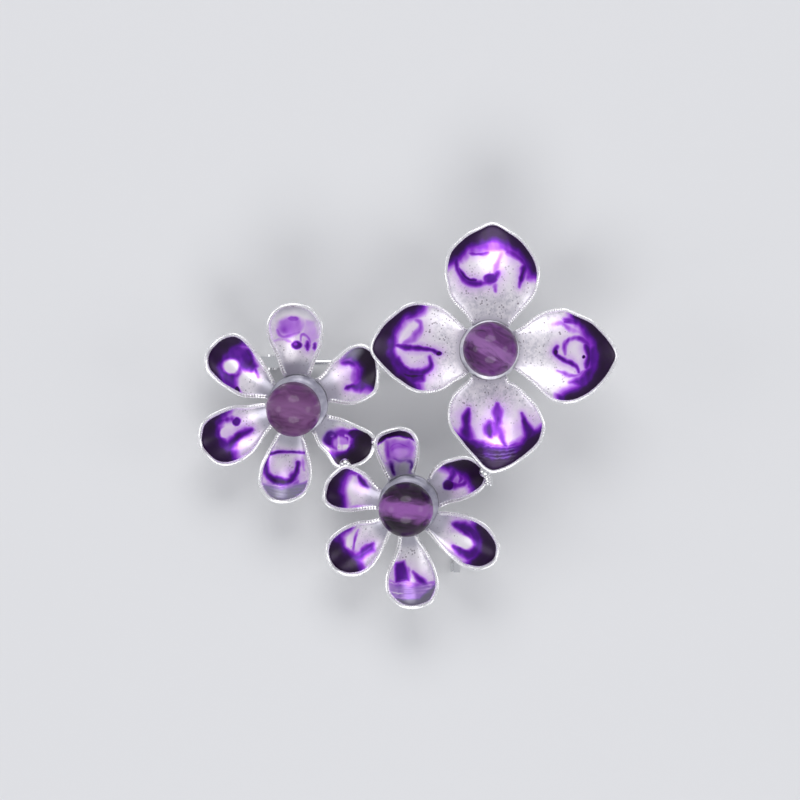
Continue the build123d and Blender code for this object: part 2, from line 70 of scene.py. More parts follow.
OUTLINES = {
    ("large", "north"): (90.16, [
        (2.97, 2.20), (4.07, 3.07), (4.83, 3.83), (5.82, 4.48), (7.02, 4.80), (8.44, 5.02),
        (9.53, 4.90), (10.83, 4.46), (11.81, 3.59), (12.63, 2.61), (13.12, 1.73), (13.55, 0.86),
        (13.88, -0.13), (13.66, -1.11), (13.00, -2.20), (12.23, -3.28), (11.03, -4.37),
        (9.72, -5.13), (8.19, -5.46), (6.99, -5.29), (5.68, -4.79), (4.70, -4.03), (3.83, -3.26),
        (2.96, -2.50),
    ]),
    ("large", "east"): (-4.02, [
        (2.44, 2.27), (3.07, 2.64), (3.80, 3.24), (4.62, 3.96), (5.67, 4.58), (6.74, 4.92),
        (7.72, 5.05), (8.72, 4.79), (9.84, 4.38), (10.86, 3.96), (11.90, 3.15), (12.83, 2.24),
        (13.56, 1.30), (13.95, 0.35), (13.80, -0.65), (13.23, -1.89), (12.44, -3.04),
        (11.42, -4.10), (10.38, -4.83), (9.21, -5.29), (8.01, -5.38), (7.01, -5.12), (6.10, -4.58),
        (5.40, -3.97), (4.58, -3.27), (3.67, -2.67), (2.75, -2.03),
    ]),
    ("large", "south"): (-86.49, [
        (3.59, 1.94), (3.96, 2.58), (4.78, 3.40), (5.59, 4.12), (6.61, 4.82), (7.51, 5.20),
        (8.51, 5.47), (9.59, 5.29), (10.76, 4.67), (11.57, 3.75), (12.38, 2.61), (13.07, 1.36),
        (13.44, 0.25), (13.49, -0.74), (13.11, -1.48), (12.30, -2.20), (11.39, -2.91),
        (10.35, -3.72), (9.44, -4.32), (8.65, -4.81), (7.42, -5.12), (6.34, -5.06), (5.26, -4.72),
        (4.53, -4.23), (3.81, -3.43), (3.31, -2.74),
    ]),
    ("large", "west"): (179.19, [
        (2.60, 2.96), (3.14, 3.30), (3.90, 3.74), (4.65, 4.30), (5.63, 4.75), (6.61, 4.93),
        (7.59, 4.94), (8.57, 4.68), (9.56, 4.10), (10.56, 3.40), (11.55, 2.49), (12.33, 1.68),
        (12.88, 0.98), (13.16, 0.27), (13.02, -0.71), (12.38, -1.92), (11.63, -2.91),
        (10.77, -3.69), (9.80, -4.47), (8.93, -4.91), (8.06, -5.09), (6.86, -5.00), (5.76, -4.74),
        (4.77, -4.21), (4.11, -3.67), (3.34, -2.92), (2.67, -2.28),
    ]),
    ("left", "n"): (88.25, [
        (2.63, 0.78), (3.27, 1.07), (4.03, 1.48), (5.32, 1.95), (6.40, 2.42), (7.37, 2.89),
        (8.45, 3.19), (9.43, 3.17), (10.32, 2.76), (11.10, 2.02), (11.46, 1.16), (11.59, 0.29),
        (11.46, -0.70), (11.16, -1.58), (10.36, -2.37), (9.40, -2.94), (8.31, -3.03),
        (7.11, -2.90), (6.00, -2.56), (5.12, -2.20), (4.13, -1.90), (3.36, -1.60), (2.80, -1.40),
    ]),
    ("left", "ne"): (29.85, [
        (3.45, 1.71), (4.23, 1.76), (5.12, 2.00), (6.03, 2.49), (7.02, 2.68), (8.01, 2.86),
        (8.91, 2.91), (9.69, 2.72), (10.39, 2.19), (10.81, 1.38), (10.84, 0.35), (10.49, -0.70),
        (9.95, -1.65), (9.42, -2.35), (8.85, -2.90), (8.10, -3.10), (7.10, -3.10), (6.09, -2.89),
        (5.21, -2.45), (4.35, -1.76), (3.64, -1.24), (3.08, -0.91),
    ]),
    ("left", "se"): (-32.63, [
        (2.79, 1.43), (3.70, 1.63), (4.55, 1.92), (5.55, 2.17), (6.62, 2.33), (7.68, 2.49),
        (8.44, 2.53), (9.17, 2.28), (9.69, 1.58), (9.99, 0.60), (9.89, -0.36), (9.45, -1.29),
        (8.80, -2.10), (8.01, -2.67), (7.25, -2.90), (6.25, -2.56), (5.38, -2.21), (4.63, -2.05),
        (3.85, -1.64), (3.16, -1.18),
    ]),
    ("left", "s"): (-97.34, [
        (2.64, 1.45), (3.15, 1.79), (3.98, 2.12), (4.93, 2.46), (5.88, 2.75), (6.96, 2.94),
        (8.07, 2.86), (8.99, 2.54), (9.68, 1.86), (10.19, 0.94), (10.42, -0.02), (10.37, -0.91),
        (9.98, -1.73), (9.29, -2.37), (8.58, -2.79), (7.60, -2.91), (6.49, -2.84), (5.46, -2.53),
        (4.54, -2.21), (3.73, -1.87), (2.91, -1.54),
    ]),
    ("left", "sw"): (-157.72, [
        (3.22, 1.12), (3.83, 1.46), (4.66, 2.06), (5.60, 2.62), (6.70, 3.00), (7.71, 3.17),
        (8.75, 3.10), (9.65, 2.73), (10.34, 2.09), (10.80, 1.20), (11.11, 0.24), (10.99, -0.77),
        (10.57, -1.65), (9.89, -2.44), (8.90, -2.86), (7.78, -2.99), (6.61, -2.98), (5.52, -2.77),
        (4.51, -2.35), (3.54, -2.13), (2.59, -1.86),
    ]),
    ("left", "nw"): (141.93, [
        (3.22, 1.09), (3.77, 1.45), (4.57, 2.02), (5.53, 2.56), (6.64, 2.74), (7.79, 2.87),
        (9.10, 2.79), (10.15, 2.50), (10.93, 1.87), (11.43, 0.87), (11.45, -0.22), (11.25, -1.20),
        (10.80, -2.04), (10.06, -2.69), (9.11, -2.89), (8.03, -2.76), (6.98, -2.47), (6.08, -2.21),
        (5.11, -1.86), (4.08, -1.42), (3.20, -1.00),
    ]),
    ("lower", "n"): (98.75, [
        (2.78, 1.22), (3.14, 1.38), (3.96, 1.70), (5.00, 1.98), (6.03, 2.26), (7.16, 2.42),
        (8.02, 2.29), (8.60, 1.76), (8.92, 0.93), (9.06, 0.03), (9.05, -0.74), (8.75, -1.58),
        (8.10, -2.25), (7.06, -2.53), (5.97, -2.42), (4.91, -2.15), (3.98, -1.73), (3.15, -1.38),
        (2.63, -1.19),
    ]),
    ("lower", "ne"): (29.91, [
        (2.73, 1.01), (3.14, 1.28), (3.60, 1.64), (4.47, 2.28), (5.36, 2.52), (6.30, 2.61),
        (7.19, 2.41), (8.05, 2.16), (8.72, 1.78), (9.31, 1.06), (9.67, 0.16), (9.77, -0.65),
        (9.48, -1.49), (8.91, -2.04), (8.26, -2.30), (7.44, -2.40), (6.47, -2.34), (5.55, -2.19),
        (4.69, -1.94), (4.01, -1.80), (3.40, -1.77),
    ]),
    ("lower", "se"): (-28.13, [
        (3.38, 1.56), (4.25, 2.02), (5.29, 2.39), (6.38, 2.67), (7.43, 2.79), (8.60, 2.68),
        (9.68, 2.27), (10.63, 1.66), (11.24, 0.75), (11.41, -0.27), (11.05, -1.21), (10.34, -1.96),
        (9.45, -2.37), (8.45, -2.60), (7.40, -2.48), (6.29, -2.26), (5.26, -1.95), (4.18, -1.54),
        (3.24, -1.18), (2.65, -1.00),
    ]),
    ("lower", "s"): (-85.05, [
        (2.78, 1.08), (3.34, 1.25), (4.26, 1.72), (5.28, 2.18), (6.19, 2.54), (7.31, 2.83),
        (8.52, 2.89), (9.59, 2.57), (10.41, 1.96), (10.82, 1.04), (10.95, 0.05), (10.88, -0.82),
        (10.41, -1.77), (9.70, -2.47), (8.78, -2.94), (7.90, -2.97), (6.82, -2.77), (5.77, -2.24),
        (4.83, -1.72), (3.77, -1.30), (2.81, -1.11),
    ]),
    ("lower", "sw"): (-142.6, [
        (2.91, 1.14), (4.08, 1.76), (5.02, 2.27), (6.17, 2.70), (7.27, 2.89), (8.26, 2.75),
        (9.14, 2.28), (9.86, 1.60), (10.29, 0.72), (10.41, -0.20), (10.18, -1.12), (9.63, -1.94),
        (8.77, -2.52), (7.67, -2.70), (6.61, -2.65), (5.57, -2.40), (4.65, -1.98), (3.81, -1.47),
        (2.98, -1.11),
    ]),
    ("lower", "nw"): (161.55, [
        (2.96, 1.10), (3.89, 1.41), (4.78, 1.83), (5.68, 2.24), (6.63, 2.50), (7.65, 2.55),
        (8.54, 2.28), (9.08, 1.71), (9.29, 0.74), (9.29, -0.29), (8.91, -1.23), (8.39, -2.09),
        (7.75, -2.59), (6.73, -2.64), (5.77, -2.50), (4.85, -2.18), (3.97, -1.61), (3.04, -1.23),
    ]),
}


def normal_of(lean, toward):
    s = math.sin(math.radians(lean))
    return np.array([s * math.cos(math.radians(toward)), s * math.sin(math.radians(toward)),
                     math.cos(math.radians(lean))])


def lattice_noise(x, y, scale, seed):
    """Smooth value noise from -1 to 1 on a plane, for arrays."""
    x, y = np.asarray(x, float) / scale, np.asarray(y, float) / scale
    xi, yi = np.floor(x), np.floor(y)
    fx, fy = x - xi, y - yi
    fx, fy = fx * fx * (3 - 2 * fx), fy * fy * (3 - 2 * fy)

    def h(i, j):
        v = np.sin(i * 127.1 + j * 311.7 + seed * 74.7) * 43758.5453
        return (v - np.floor(v)) * 2 - 1

    return ((h(xi, yi) * (1 - fx) + h(xi + 1, yi) * fx) * (1 - fy)
            + (h(xi, yi + 1) * (1 - fx) + h(xi + 1, yi + 1) * fx) * fy)


def step(a, b, x):
    t = np.clip((x - a) / (b - a), 0, 1)
    return t * t * (3 - 2 * t)


def spline_through(points, n):
    """A smooth curve through points, resampled to n+1 even steps."""
    p = np.array(points, float)
    d = np.r_[0, np.cumsum(np.hypot(*np.diff(p, axis=0).T))]
    m = len(p)
    h = np.diff(d)
    a = np.zeros((m, m))
    r = np.zeros((m, 2))
    a[0, 0] = a[-1, -1] = 1
    for i in range(1, m - 1):
        a[i, i - 1], a[i, i], a[i, i + 1] = h[i - 1], 2 * (h[i - 1] + h[i]), h[i]
        r[i] = 6 * ((p[i + 1] - p[i]) / h[i] - (p[i] - p[i - 1]) / h[i - 1])
    k = np.linalg.solve(a, r)
    t = np.linspace(0, d[-1], 4000)
    j = np.clip(np.searchsorted(d, t) - 1, 0, m - 2)
    u = (t - d[j])[:, None]
    hj = h[j][:, None]
    q = (k[j] * (hj - u) ** 3 / (6 * hj) + k[j + 1] * u ** 3 / (6 * hj)
         + (p[j] / hj - k[j] * hj / 6) * (hj - u) + (p[j + 1] / hj - k[j + 1] * hj / 6) * u)
    return even(q, n)


def even(q, n):
    d = np.r_[0, np.cumsum(np.hypot(*np.diff(q, axis=0).T))]
    t = np.linspace(0, d[-1], n + 1)
    return np.stack([np.interp(t, d, q[:, i]) for i in range(2)], axis=1)


class Petal:
    def __init__(self, flower, name):
        self.flower, self.name = flower, name
        (bx, by), z0, lean, toward = FLOWERS[flower]
        n = normal_of(lean, toward)
        reach = HUB_ABOVE + BEAD_R
        self.bead = np.array([bx, by])
        self.hub = self.bead - n[:2] * reach
        self.slope = (-n[0] / n[2], -n[1] / n[2])
        self.z0 = z0
        self.curl, self.dish = SHAPE[(flower, name)]
        angle, pts = OUTLINES[(flower, name)]
        self.c, self.s = math.cos(math.radians(angle)), math.sin(math.radians(angle))
        pts = [self.world(np.array(p)) for p in pts]
        line = spline_through(pts, 4000)
        far = np.hypot(*(line - self.hub).T) > HUB_R
        first, last = np.argmax(far), len(far) - 1 - np.argmax(far[::-1])
        line = line[first:last + 1]
        a0 = math.atan2(*(line[0] - self.hub)[::-1])
        a1 = math.atan2(*(line[-1] - self.hub)[::-1])
        while a0 - a1 > math.pi:
            a1 += 2 * math.pi
        while a1 - a0 > math.pi:
            a1 -= 2 * math.pi
        # a short straight piece closes the gap where the outline stops short of the hub
        ends = [self.hub + HUB_R * np.array([math.cos(a), math.sin(a)]) for a in (a0, a1)]
        if np.hypot(*(line[0] - ends[0])) > 0.05:
            line = np.vstack([np.linspace(ends[0], line[0], 40)[:-1], line])
        if np.hypot(*(line[-1] - ends[1])) > 0.05:
            line = np.vstack([line, np.linspace(line[-1], ends[1], 40)[1:]])
        self.line = line
        arc = np.linspace(a1, a0, 60)
        self.arc = self.hub + HUB_R * np.stack([np.cos(arc), np.sin(arc)], axis=1)
        u = self.local(line)[:, 0]
        self.tip_u = u.max()
        self.centre = self.world(np.array([3.0 + 0.52 * (self.tip_u - 3.0), 0.0]))

    def world(self, p):
        p = np.atleast_2d(p)
        w = np.stack([self.bead[0] + p[:, 0] * self.c - p[:, 1] * self.s,
                      self.bead[1] + p[:, 0] * self.s + p[:, 1] * self.c], axis=1)
        return w[0] if len(w) == 1 else w

    def local(self, w):
        d = np.atleast_2d(w) - self.bead
        return np.stack([d[:, 0] * self.c + d[:, 1] * self.s,
                         -d[:, 0] * self.s + d[:, 1] * self.c], axis=1)

    def floor(self, w):
        w = np.atleast_2d(w)
        q = self.local(w)
        tilt = self.slope[0] * (w[:, 0] - self.hub[0]) + self.slope[1] * (w[:, 1] - self.hub[1])
        return self.z0 + tilt + self.curl * (q[:, 0] - CURL_FROM) ** 2 + self.dish * q[:, 1] ** 2

    def loop(self, n_line, n_arc):
        """Closed loop in plan, its inward normals, and how much rim each point carries."""
        a = even(self.line, n_line)
        b = even(self.arc, n_arc)
        p = np.vstack([a, b[1:-1]])
        rim = np.zeros(len(p))
        rim[: n_line + 1] = 1
        k = np.arange(n_line + 1) / n_line
        end = min(0.35 / (np.hypot(*np.diff(a, axis=0).T).sum()), 0.1)
        rim[: n_line + 1] = step(0, end, k) * step(0, end, 1 - k)
        t = np.roll(p, -1, axis=0) - np.roll(p, 1, axis=0)
        t /= np.hypot(*t.T)[:, None]
        n = np.stack([-t[:, 1], t[:, 0]], axis=1)
        inward = self.centre - p
        if (n * inward).sum() < 0:
            n = -n
        for _ in range(3):
            n = (np.roll(n, 1, axis=0) + 2 * n + np.roll(n, -1, axis=0)) / 4
        n /= np.hypot(*n.T)[:, None]
        length = np.r_[0, np.cumsum(np.hypot(*np.diff(p, axis=0).T))]
        return p, n, rim, length


def inset_loop(p, gap, n):
    """Clean loop inside a petal's outline: along even directions from its centre, the nearest
    crossing with the outline moved in by gap."""
    plan, inward, rim, _ = p.loop(700, 80)
    q = plan + inward * (gap * np.maximum(rim, 0.02))[:, None]
    a = np.linspace(0, 2 * math.pi, n, endpoint=False)
    d = np.stack([np.cos(a), np.sin(a)], axis=1)
    s0, s1 = q, np.roll(q, -1, axis=0)
    e = s1 - s0
    r = np.full(n, 1e9)
    for i in range(len(q)):
        den = d[:, 0] * e[i, 1] - d[:, 1] * e[i, 0]
        den = np.where(np.abs(den) < 1e-12, 1e-12, den)
        o = s0[i] - p.centre
        t = (o[0] * e[i, 1] - o[1] * e[i, 0]) / den
        k = (o[0] * d[:, 1] - o[1] * d[:, 0]) / den
        ok = (t > 0.1) & (k >= -1e-6) & (k <= 1 + 1e-6)
        r = np.where(ok, np.minimum(r, t), r)
    bad = r > 1e8
    if bad.any():
        r[bad] = np.interp(a[bad], a[~bad], r[~bad])
    for _ in range(2):
        r = (np.roll(r, 1) + 2 * r + np.roll(r, -1)) / 4
    return p.centre + d * r[:, None]


def add_mesh(name, verts, faces, material, replaces=(), body="brooch", attributes=None):
    me = bpy.data.meshes.new(name)
    me.from_pydata((np.asarray(verts) * MM).tolist(), [], faces)
    me.update()
    me.polygons.foreach_set("use_smooth", [True] * len(me.polygons))
    for key, values in (attributes or {}).items():
        at = me.attributes.new(key, "FLOAT", "POINT")
        at.data.foreach_set("value", np.asarray(values, np.float32))
    ob = bpy.data.objects.new(name, me)
    bpy.context.scene.collection.objects.link(ob)
    me.materials.append(material)
    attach(ob, body)
    if replaces:
        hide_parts(*replaces)
    return ob


def stitch(loops, close_top=None, close_bottom=None, flip=False):
    """Faces between loops of equal length, with an optional fan at either end."""
    n = len(loops[0])
    verts = np.vstack(loops)
    faces = []
    for k in range(len(loops) - 1):
        a, b = k * n, (k + 1) * n
        for i in range(n):
            j = (i + 1) % n
            faces.append((a + i, a + j, b + j, b + i))
    if close_top is not None:
        verts = np.vstack([verts, close_top])
        c, a = len(verts) - 1, (len(loops) - 1) * n
        faces += [(a + i, a + (i + 1) % n, c) for i in range(n)]
    if close_bottom is not None:
        verts = np.vstack([verts, close_bottom])
        c = len(verts) - 1
        faces += [((i + 1) % n, i, c) for i in range(n)]
    if flip:
        faces = [tuple(reversed(f)) for f in faces]
    return verts, faces
# ------------------------------------------------------------------ enamel patterns
# Each is drawn on the design grid. fill: soft-edged area (points, depth, softness).
# line: stroke (points, half width, depth). shade: painted grey shade (points, depth, softness). oval, dot, wipe and
# fade as their names say.


def stroke(x, y, points, width, depth):
    """Depth of colour of a stroke that is deepest along its middle and bleeds out at its sides."""
    if len(points) > 2:
        n = 7 * (len(points) - 1)
        pts = spline_through([tuple(q) for q in points], n)
    else:
        n = 6
        pts = np.linspace(points[0], points[-1], n + 1)
    w = np.linspace(width[0], width[1], n + 1) if isinstance(width, tuple) else np.full(n + 1, float(width))
    along = np.abs(np.linspace(-1, 1, n + 1))
    w = w * (1 - 0.25 * along ** 3)
    w = w * (1 + 0.22 * np.sin(2.3 * np.linspace(0, 4, n + 1) + 7 * w[0]))
    best = np.zeros_like(x)
    for i in range(n):
        x0, y0 = pts[i]
        dx, dy = pts[i + 1] - pts[i]
        k = np.clip(((x - x0) * dx + (y - y0) * dy) / max(dx * dx + dy * dy, 1e-6), 0, 1)
        d = np.hypot(x - x0 - k * dx, y - y0 - k * dy)
        r = w[i] + (w[i + 1] - w[i]) * k
        best = np.maximum(best, (1 - 0.22 * abs(along[i]) ** 3) * np.exp(-(d / (r * 1.22 + 0.95)) ** 2.0))
    return np.maximum(depth * best, 0.22 * best ** 0.13 * min(1.0, depth * 1.4))


def oval(x, y, cx, cy, a, b, turn=0.0, soft=0.34):
    t = math.radians(turn)
    u = (x - cx) * math.cos(t) + (y - cy) * math.sin(t)
    v = -(x - cx) * math.sin(t) + (y - cy) * math.cos(t)
    return step(1 + soft, 1 - soft, np.hypot(u / a, v / b))


def fill(x, y, poly, soft):
    """1 inside a closed area, 0 outside, over a soft edge."""
    inside = np.zeros(len(x), bool)
    near = np.full(len(x), 1e9)
    for (x0, y0), (x1, y1) in zip(poly, poly[1:] + poly[:1]):
        dx, dy = x1 - x0, y1 - y0
        k = np.clip(((x - x0) * dx + (y - y0) * dy) / (dx * dx + dy * dy), 0, 1)
        near = np.minimum(near, np.hypot(x - x0 - k * dx, y - y0 - k * dy))
        cross = (y0 > y) != (y1 > y)
        at = x0 + (y - y0) * dx / (dy if dy else 1e-9)
        inside ^= cross & (x < at)
    # softness above 12 marks the near-black tip fills, violet enamel with painted shade, pushed inward over a wide blur
    push, soft = (6.2, 21.0) if soft > 12 else (1.0, soft * 1.15)
    return step(-soft / 2 - push, soft / 2 - push, np.where(inside, near, -near))


VIOLET_AND_SHADE = {
    ("large", "north"): [
        ("fill", [(446, 259), (460, 253), (474, 254), (490, 252), (503, 250), (514, 254), (523, 262), (527, 272), (545, 270), (540, 210), (440, 210)], 0.46, 6),
        ("fill", [(444, 262), (457, 255), (465, 245), (478, 239), (492, 237), (506, 239), (518, 248), (528, 259), (533, 272), (548, 272), (540, 210), (440, 210)], 0.90, 15),
        ("line", [(464, 249), (457, 259), (459, 271), (466, 280), (477, 284), (487, 283)], (2.6, 2.4), 0.66),
        ("line", [(460, 268), (467, 278), (476, 281)], 1.0, 0.80),
        ("line", [(468, 253.5), (480, 254), (488, 253)], 1.2, 0.62),
        ("oval", (490.5, 279, 7.5, 5.2, -12), 0.62),
        ("line", [(484, 283), (491, 281), (497, 274)], (2.0, 3.0), 0.66),
        ("line", [(502, 252), (498, 262), (494, 273)], (2.6, 2.0), 0.34),
        ("line", [(495, 284), (496, 291)], (2.2, 1.4), 0.40),
        ("line", [(508, 251), (517, 256), (524, 263), (525, 272), (521, 281), (519, 287)], (3.6, 1.4), 0.62),
        ("line", [(524, 266), (523, 274), (521, 281)], (2.4, 1.6), 0.78),
    ],
    ("large", "west"): [
        ("fill", [(414, 311), (411, 317), (402, 321), (396, 331), (396, 342), (395, 350), (397, 358), (404, 367), (415, 373), (425, 372), (424, 380), (410, 388), (398, 400), (355, 400), (355, 300)], 0.68, 9),
        ("fill", [(418, 306), (402, 315), (393, 326), (387, 340), (386, 352), (389, 364), (396, 374), (406, 381), (415, 388), (400, 404), (355, 404), (355, 300)], 0.93, 15),
        ("line", [(404, 319), (411, 316)], 2.0, 0.60),
        ("line", [(415, 319), (421, 324), (419, 332), (410, 341), (403, 346)], (1.8, 2.8), 0.42),
        ("line", [(392, 345), (405, 347), (420, 348), (430, 350), (439, 353)], (1.9, 1.9), 0.70),
        ("oval", (438.5, 353, 3.0, 2.7, 0), 0.80),
        ("line", [(397, 360), (404, 369), (414, 373), (424, 371), (431, 364), (430, 357)], (4.0, 2.2), 0.72),
        ("line", [(402, 374), (412, 377), (422, 375)], 1.8, 0.84),
        ("line", [(398, 356), (403, 364), (411, 369)], 0.8, 0.40),
    ],
    ("large", "east"): [
        ("fill", [(564, 320), (577, 325), (586, 334), (591, 345), (589, 356), (588, 367), (581, 375), (571, 382), (578, 388), (567, 394), (556, 395), (556, 412), (632, 412), (632, 306)], 0.70, 9),
        ("fill", [(576, 316), (587, 327), (596, 340), (600, 354), (598, 369), (591, 382), (582, 391), (566, 398), (566, 412), (632, 412), (632, 308)], 0.95, 15),
        ("line", [(565, 322), (577, 323), (588, 328)], (1.8, 3.2), 0.60),
        ("line", [(553, 325), (560, 323), (570, 329), (580, 332)], (1.4, 2.6), 0.34),
        ("line", [(566, 354), (565, 345), (570, 339), (579, 338), (587, 342), (590, 350)], (1.2, 2.8), 0.50),
        ("line", [(558, 346), (555, 352), (560, 357), (568, 361), (576, 367), (578, 372)], (1.6, 1.8), 0.68),
        ("oval", (556, 352, 2.2, 3.0, 0), 0.76),
        ("line", [(558, 370), (566, 374), (575, 376), (582, 372)], (0.9, 1.6), 0.44),
        ("line", [(586, 345), (589, 356), (586, 367)], 2.4, 0.72),
        ("dot", (583.5, 357, 1.5), 0.92),
    ],
    ("large", "south"): [
        ("fill", [(456, 434), (467, 436), (480, 441), (494, 446), (508, 446), (520, 441), (528, 431), (545, 426), (545, 486), (445, 486)], 0.66, 9),
        ("fill", [(453, 438), (466, 442), (478, 451), (492, 460), (508, 458), (522, 448), (533, 437), (548, 430), (548, 486), (445, 486)], 0.92, 15),
        ("fill", [(462, 447), (480, 444), (496, 447), (512, 446), (526, 440), (530, 470), (460, 470)], 0.78, 9),
        ("line", [(468, 410), (466, 420), (466, 430), (468, 441)], (2.4, 6.0), 0.74),
        ("line", [(497, 405), (497.5, 414), (498, 424)], (3.2, 4.2), 0.62),
        ("line", [(498, 424), (503, 438), (509, 453)], (3.4, 1.8), 0.60),
        ("fill", [(487, 420), (500, 420), (504, 436), (488, 436)], 0.46, 7),
        ("line", [(490, 423), (489, 430), (490, 436)], (4.2, 3.4), 0.78),
        ("line", [(522, 414), (526, 424), (529, 434), (526, 446)], (1.8, 6.4), 0.74),
        ("lines", (474, 514, 444, 460, 3.6), 0.10),
    ],
    ("left", "n"): [
        ("shade", [(264, 330), (272, 319), (283, 313), (295, 311), (308, 314), (318, 324), (326, 334), (330, 296), (262, 296)], 0.64, 9),
        ("oval", (291, 326.5, 15.0, 9.6, -8), 0.34),
        ("oval", (293, 319.5, 7.0, 2.6, 0), 0.44),
        ("line", [(275, 341), (282, 339), (291, 341)], 1.0, 0.26),
        ("line", [(277, 330), (281, 336), (292, 335), (300, 332)], 1.2, 0.42),
        ("fill", [(306, 320), (315, 322), (318, 338), (309, 345), (304, 335)], 0.20, 5),
        ("oval", (297, 345, 5.6, 5.0, 0), 0.74),
        ("fade", (296, 343.5, 2.2, 1.8, 0), 0.30),
        ("line", [(307.5, 342), (307.5, 350)], 1.7, 0.66),
        ("line", [(314.5, 344), (315, 349)], 1.3, 0.60),
        ("line", [(301, 340), (303, 334.5), (307, 336), (310, 343)], 0.7, 0.36),
    ],
    ("left", "nw"): [
        ("fill", [(238, 343), (250, 352), (257, 366), (250, 371), (242, 368), (236, 378), (239, 391), (230, 390), (220, 378), (215, 366), (219, 350), (229, 343)], 0.66, 9),
        ("fill", [(246, 338), (231, 345), (221, 355), (216, 368), (219, 381), (212, 390), (190, 372), (200, 330), (244, 322)], 0.92, 15),
        ("line", [(245, 350), (251, 360), (247, 367)], (2.5, 3.5), 0.74),
        ("line", [(244, 350), (251, 361), (258, 377)], (1.0, 1.4), 0.46),
        ("oval", (237, 390, 3.0, 4.2, 0), 0.86),
        ("wipe", (231, 367, 8.4, 7.4, 20)),
        ("wipe", (248, 382, 9.5, 9.0, 0)),
        ("line", [(222, 374), (226, 382), (233, 389)], (1.2, 1.2), 0.62),
    ],
    ("left", "sw"): [
        ("fill", [(216, 416), (226, 419), (220, 426), (221, 436), (229, 441), (238, 436), (232, 448), (233, 461), (214, 456), (209, 435)], 0.70, 9),
        ("fill", [(223, 409), (214, 421), (213, 436), (219, 448), (230, 456), (233, 470), (195, 474), (185, 430), (206, 404)], 0.93, 15),
        ("line", [(222, 421), (232, 419), (238, 421)], (2.0, 3.0), 0.52),
        ("oval", (237, 421.5, 4.6, 4.4, 0), 0.72),
        ("wipe", (227, 432.5, 7.2, 4.8, -8)),
        ("line", [(251, 430), (241, 434), (232, 441), (227, 451)], (2.4, 5.0), 0.78),
        ("line", [(227, 452), (229, 459)], 4.5, 0.88),
    ],
    ("left", "s"): [
        ("shade", [(254, 483), (268, 485), (282, 489), (298, 485), (312, 481), (312, 500), (252, 500)], 0.60, 6),
        ("fill", [(254, 484), (268, 486), (282, 490), (298, 486), (312, 481), (312, 512), (252, 512)], 0.76, 7),
        ("fill", [(267, 481), (282, 486), (298, 480), (300, 490), (281, 493), (265, 489)], 0.36, 5),
        ("fill", [(256, 493), (268, 496), (284, 498), (298, 495), (312, 488), (312, 512), (252, 512)], 0.84, 6),
        ("line", [(266, 457), (265, 468), (269, 477), (279, 482), (289, 481), (295, 474), (298, 463)], (3.0, 2.6), 0.78),
        ("line", [(290, 480), (295, 473)], 3.0, 0.76),
        ("line", [(265, 453), (276, 452.6), (290, 452), (305, 453)], (1.1, 0.5), 0.62),
        ("line", [(267, 453.6), (275, 453), (284, 452.4)], (1.2, 0.5), 0.80),
        ("line", [(302, 457), (304, 470)], 1.8, 0.26),
        ("lines", (262, 304, 486, 502, 3.3), 0.20),
    ],
    ("left", "se"): [
        ("fill", [(372, 424), (357, 438), (356, 448), (345, 457), (332, 462), (345, 480), (392, 475), (392, 428)], 1.0, 15),
        ("oval", (331, 438, 9, 9, 20), 0.68),
        ("oval", (343, 441, 19, 12, 12), 0.64),
        ("oval", (356, 435, 11, 5.5, 5), 0.80),
        ("oval", (352, 450, 11, 6, -10), 0.74),
        ("fade", (341, 444, 9, 6.5, 15), 0.55),
        ("mottle", (341, 443, 12, 8), 0.58),
    ],
    ("left", "ne"): [
        ("fill", [(341, 361), (352, 359), (361, 366), (360, 378), (353, 385), (346, 389), (360, 391), (376, 386), (376, 348), (352, 350)], 0.70, 9),
        ("shade", [(340, 356), (352, 348), (360, 350), (354, 358)], 0.64, 9),
        ("fill", [(357, 346), (358, 360), (364, 367), (364, 379), (369, 384), (388, 392), (394, 345), (368, 334)], 1.0, 15),
        ("line", [(342, 363), (350, 363), (357, 366)], 2.4, 0.66),
        ("line", [(356, 364), (359, 374), (356, 384)], (4.0, 5.0), 0.62),
        ("line", [(345, 388.5), (356, 386)], (1.2, 2.4), 0.72),
    ],
    ("lower", "n"): [
        ("fill", [(386, 440), (410, 440), (414, 448), (413, 462), (405, 460), (388, 463), (386, 450)], 0.40, 8),
        ("line", [(389, 452), (392, 446), (402, 444), (411, 449)], 1.4, 0.46),
        ("fill", [(386, 463), (398, 463), (413, 463), (411, 474), (392, 474)], 0.52, 7),
        ("fade", (402, 468, 6.4, 6.0, 0), 0.75),
        ("fill", [(376, 444), (387, 437), (398, 435.5), (409, 437), (420, 444), (420, 420), (376, 420)], 0.94, 4),
        ("line", [(392, 458), (400, 461), (409, 458)], (1.6, 1.2), 0.50),
        ("fade", (400, 453, 8.5, 5.0, -12), 0.34),
        ("line", [(391, 462), (394, 475)], (3.4, 2.2), 0.74),
        ("line", [(408, 461), (411, 462), (410.5, 470)], (2.6, 1.4), 0.72),
        ("line", [(400, 460), (398, 472)], 1.0, 0.30),
    ],
    ("lower", "ne"): [
        ("fill", [(445, 463), (456, 467), (466, 471), (472, 480), (479, 490), (500, 497), (498, 448), (448, 448)], 0.98, 15),
        ("oval", (460, 479, 12, 9.5, 15), 0.34),
        ("line", [(449, 464), (453, 473), (449, 481)], 3.2, 0.70),
        ("oval", (448, 485, 6.5, 6, 0), 0.74),
        ("line", [(458, 470), (463, 474)], 3.0, 0.66),
        ("line", [(449, 483), (456, 486), (464, 484), (468, 478)], (3.6, 2.0), 0.56),
        ("line", [(455, 472), (460, 477), (459, 484)], (1.8, 2.4), 0.52),
        ("line", [(466, 470), (471, 478), (469, 487)], (2.0, 2.6), 0.62),
    ],
    ("lower", "se"): [
        ("fill", [(466, 522), (480, 531), (484, 545), (478, 558), (467, 560), (456, 553), (456, 548), (468, 551), (475, 545), (468, 534), (456, 527), (455, 522)], 0.72, 9),
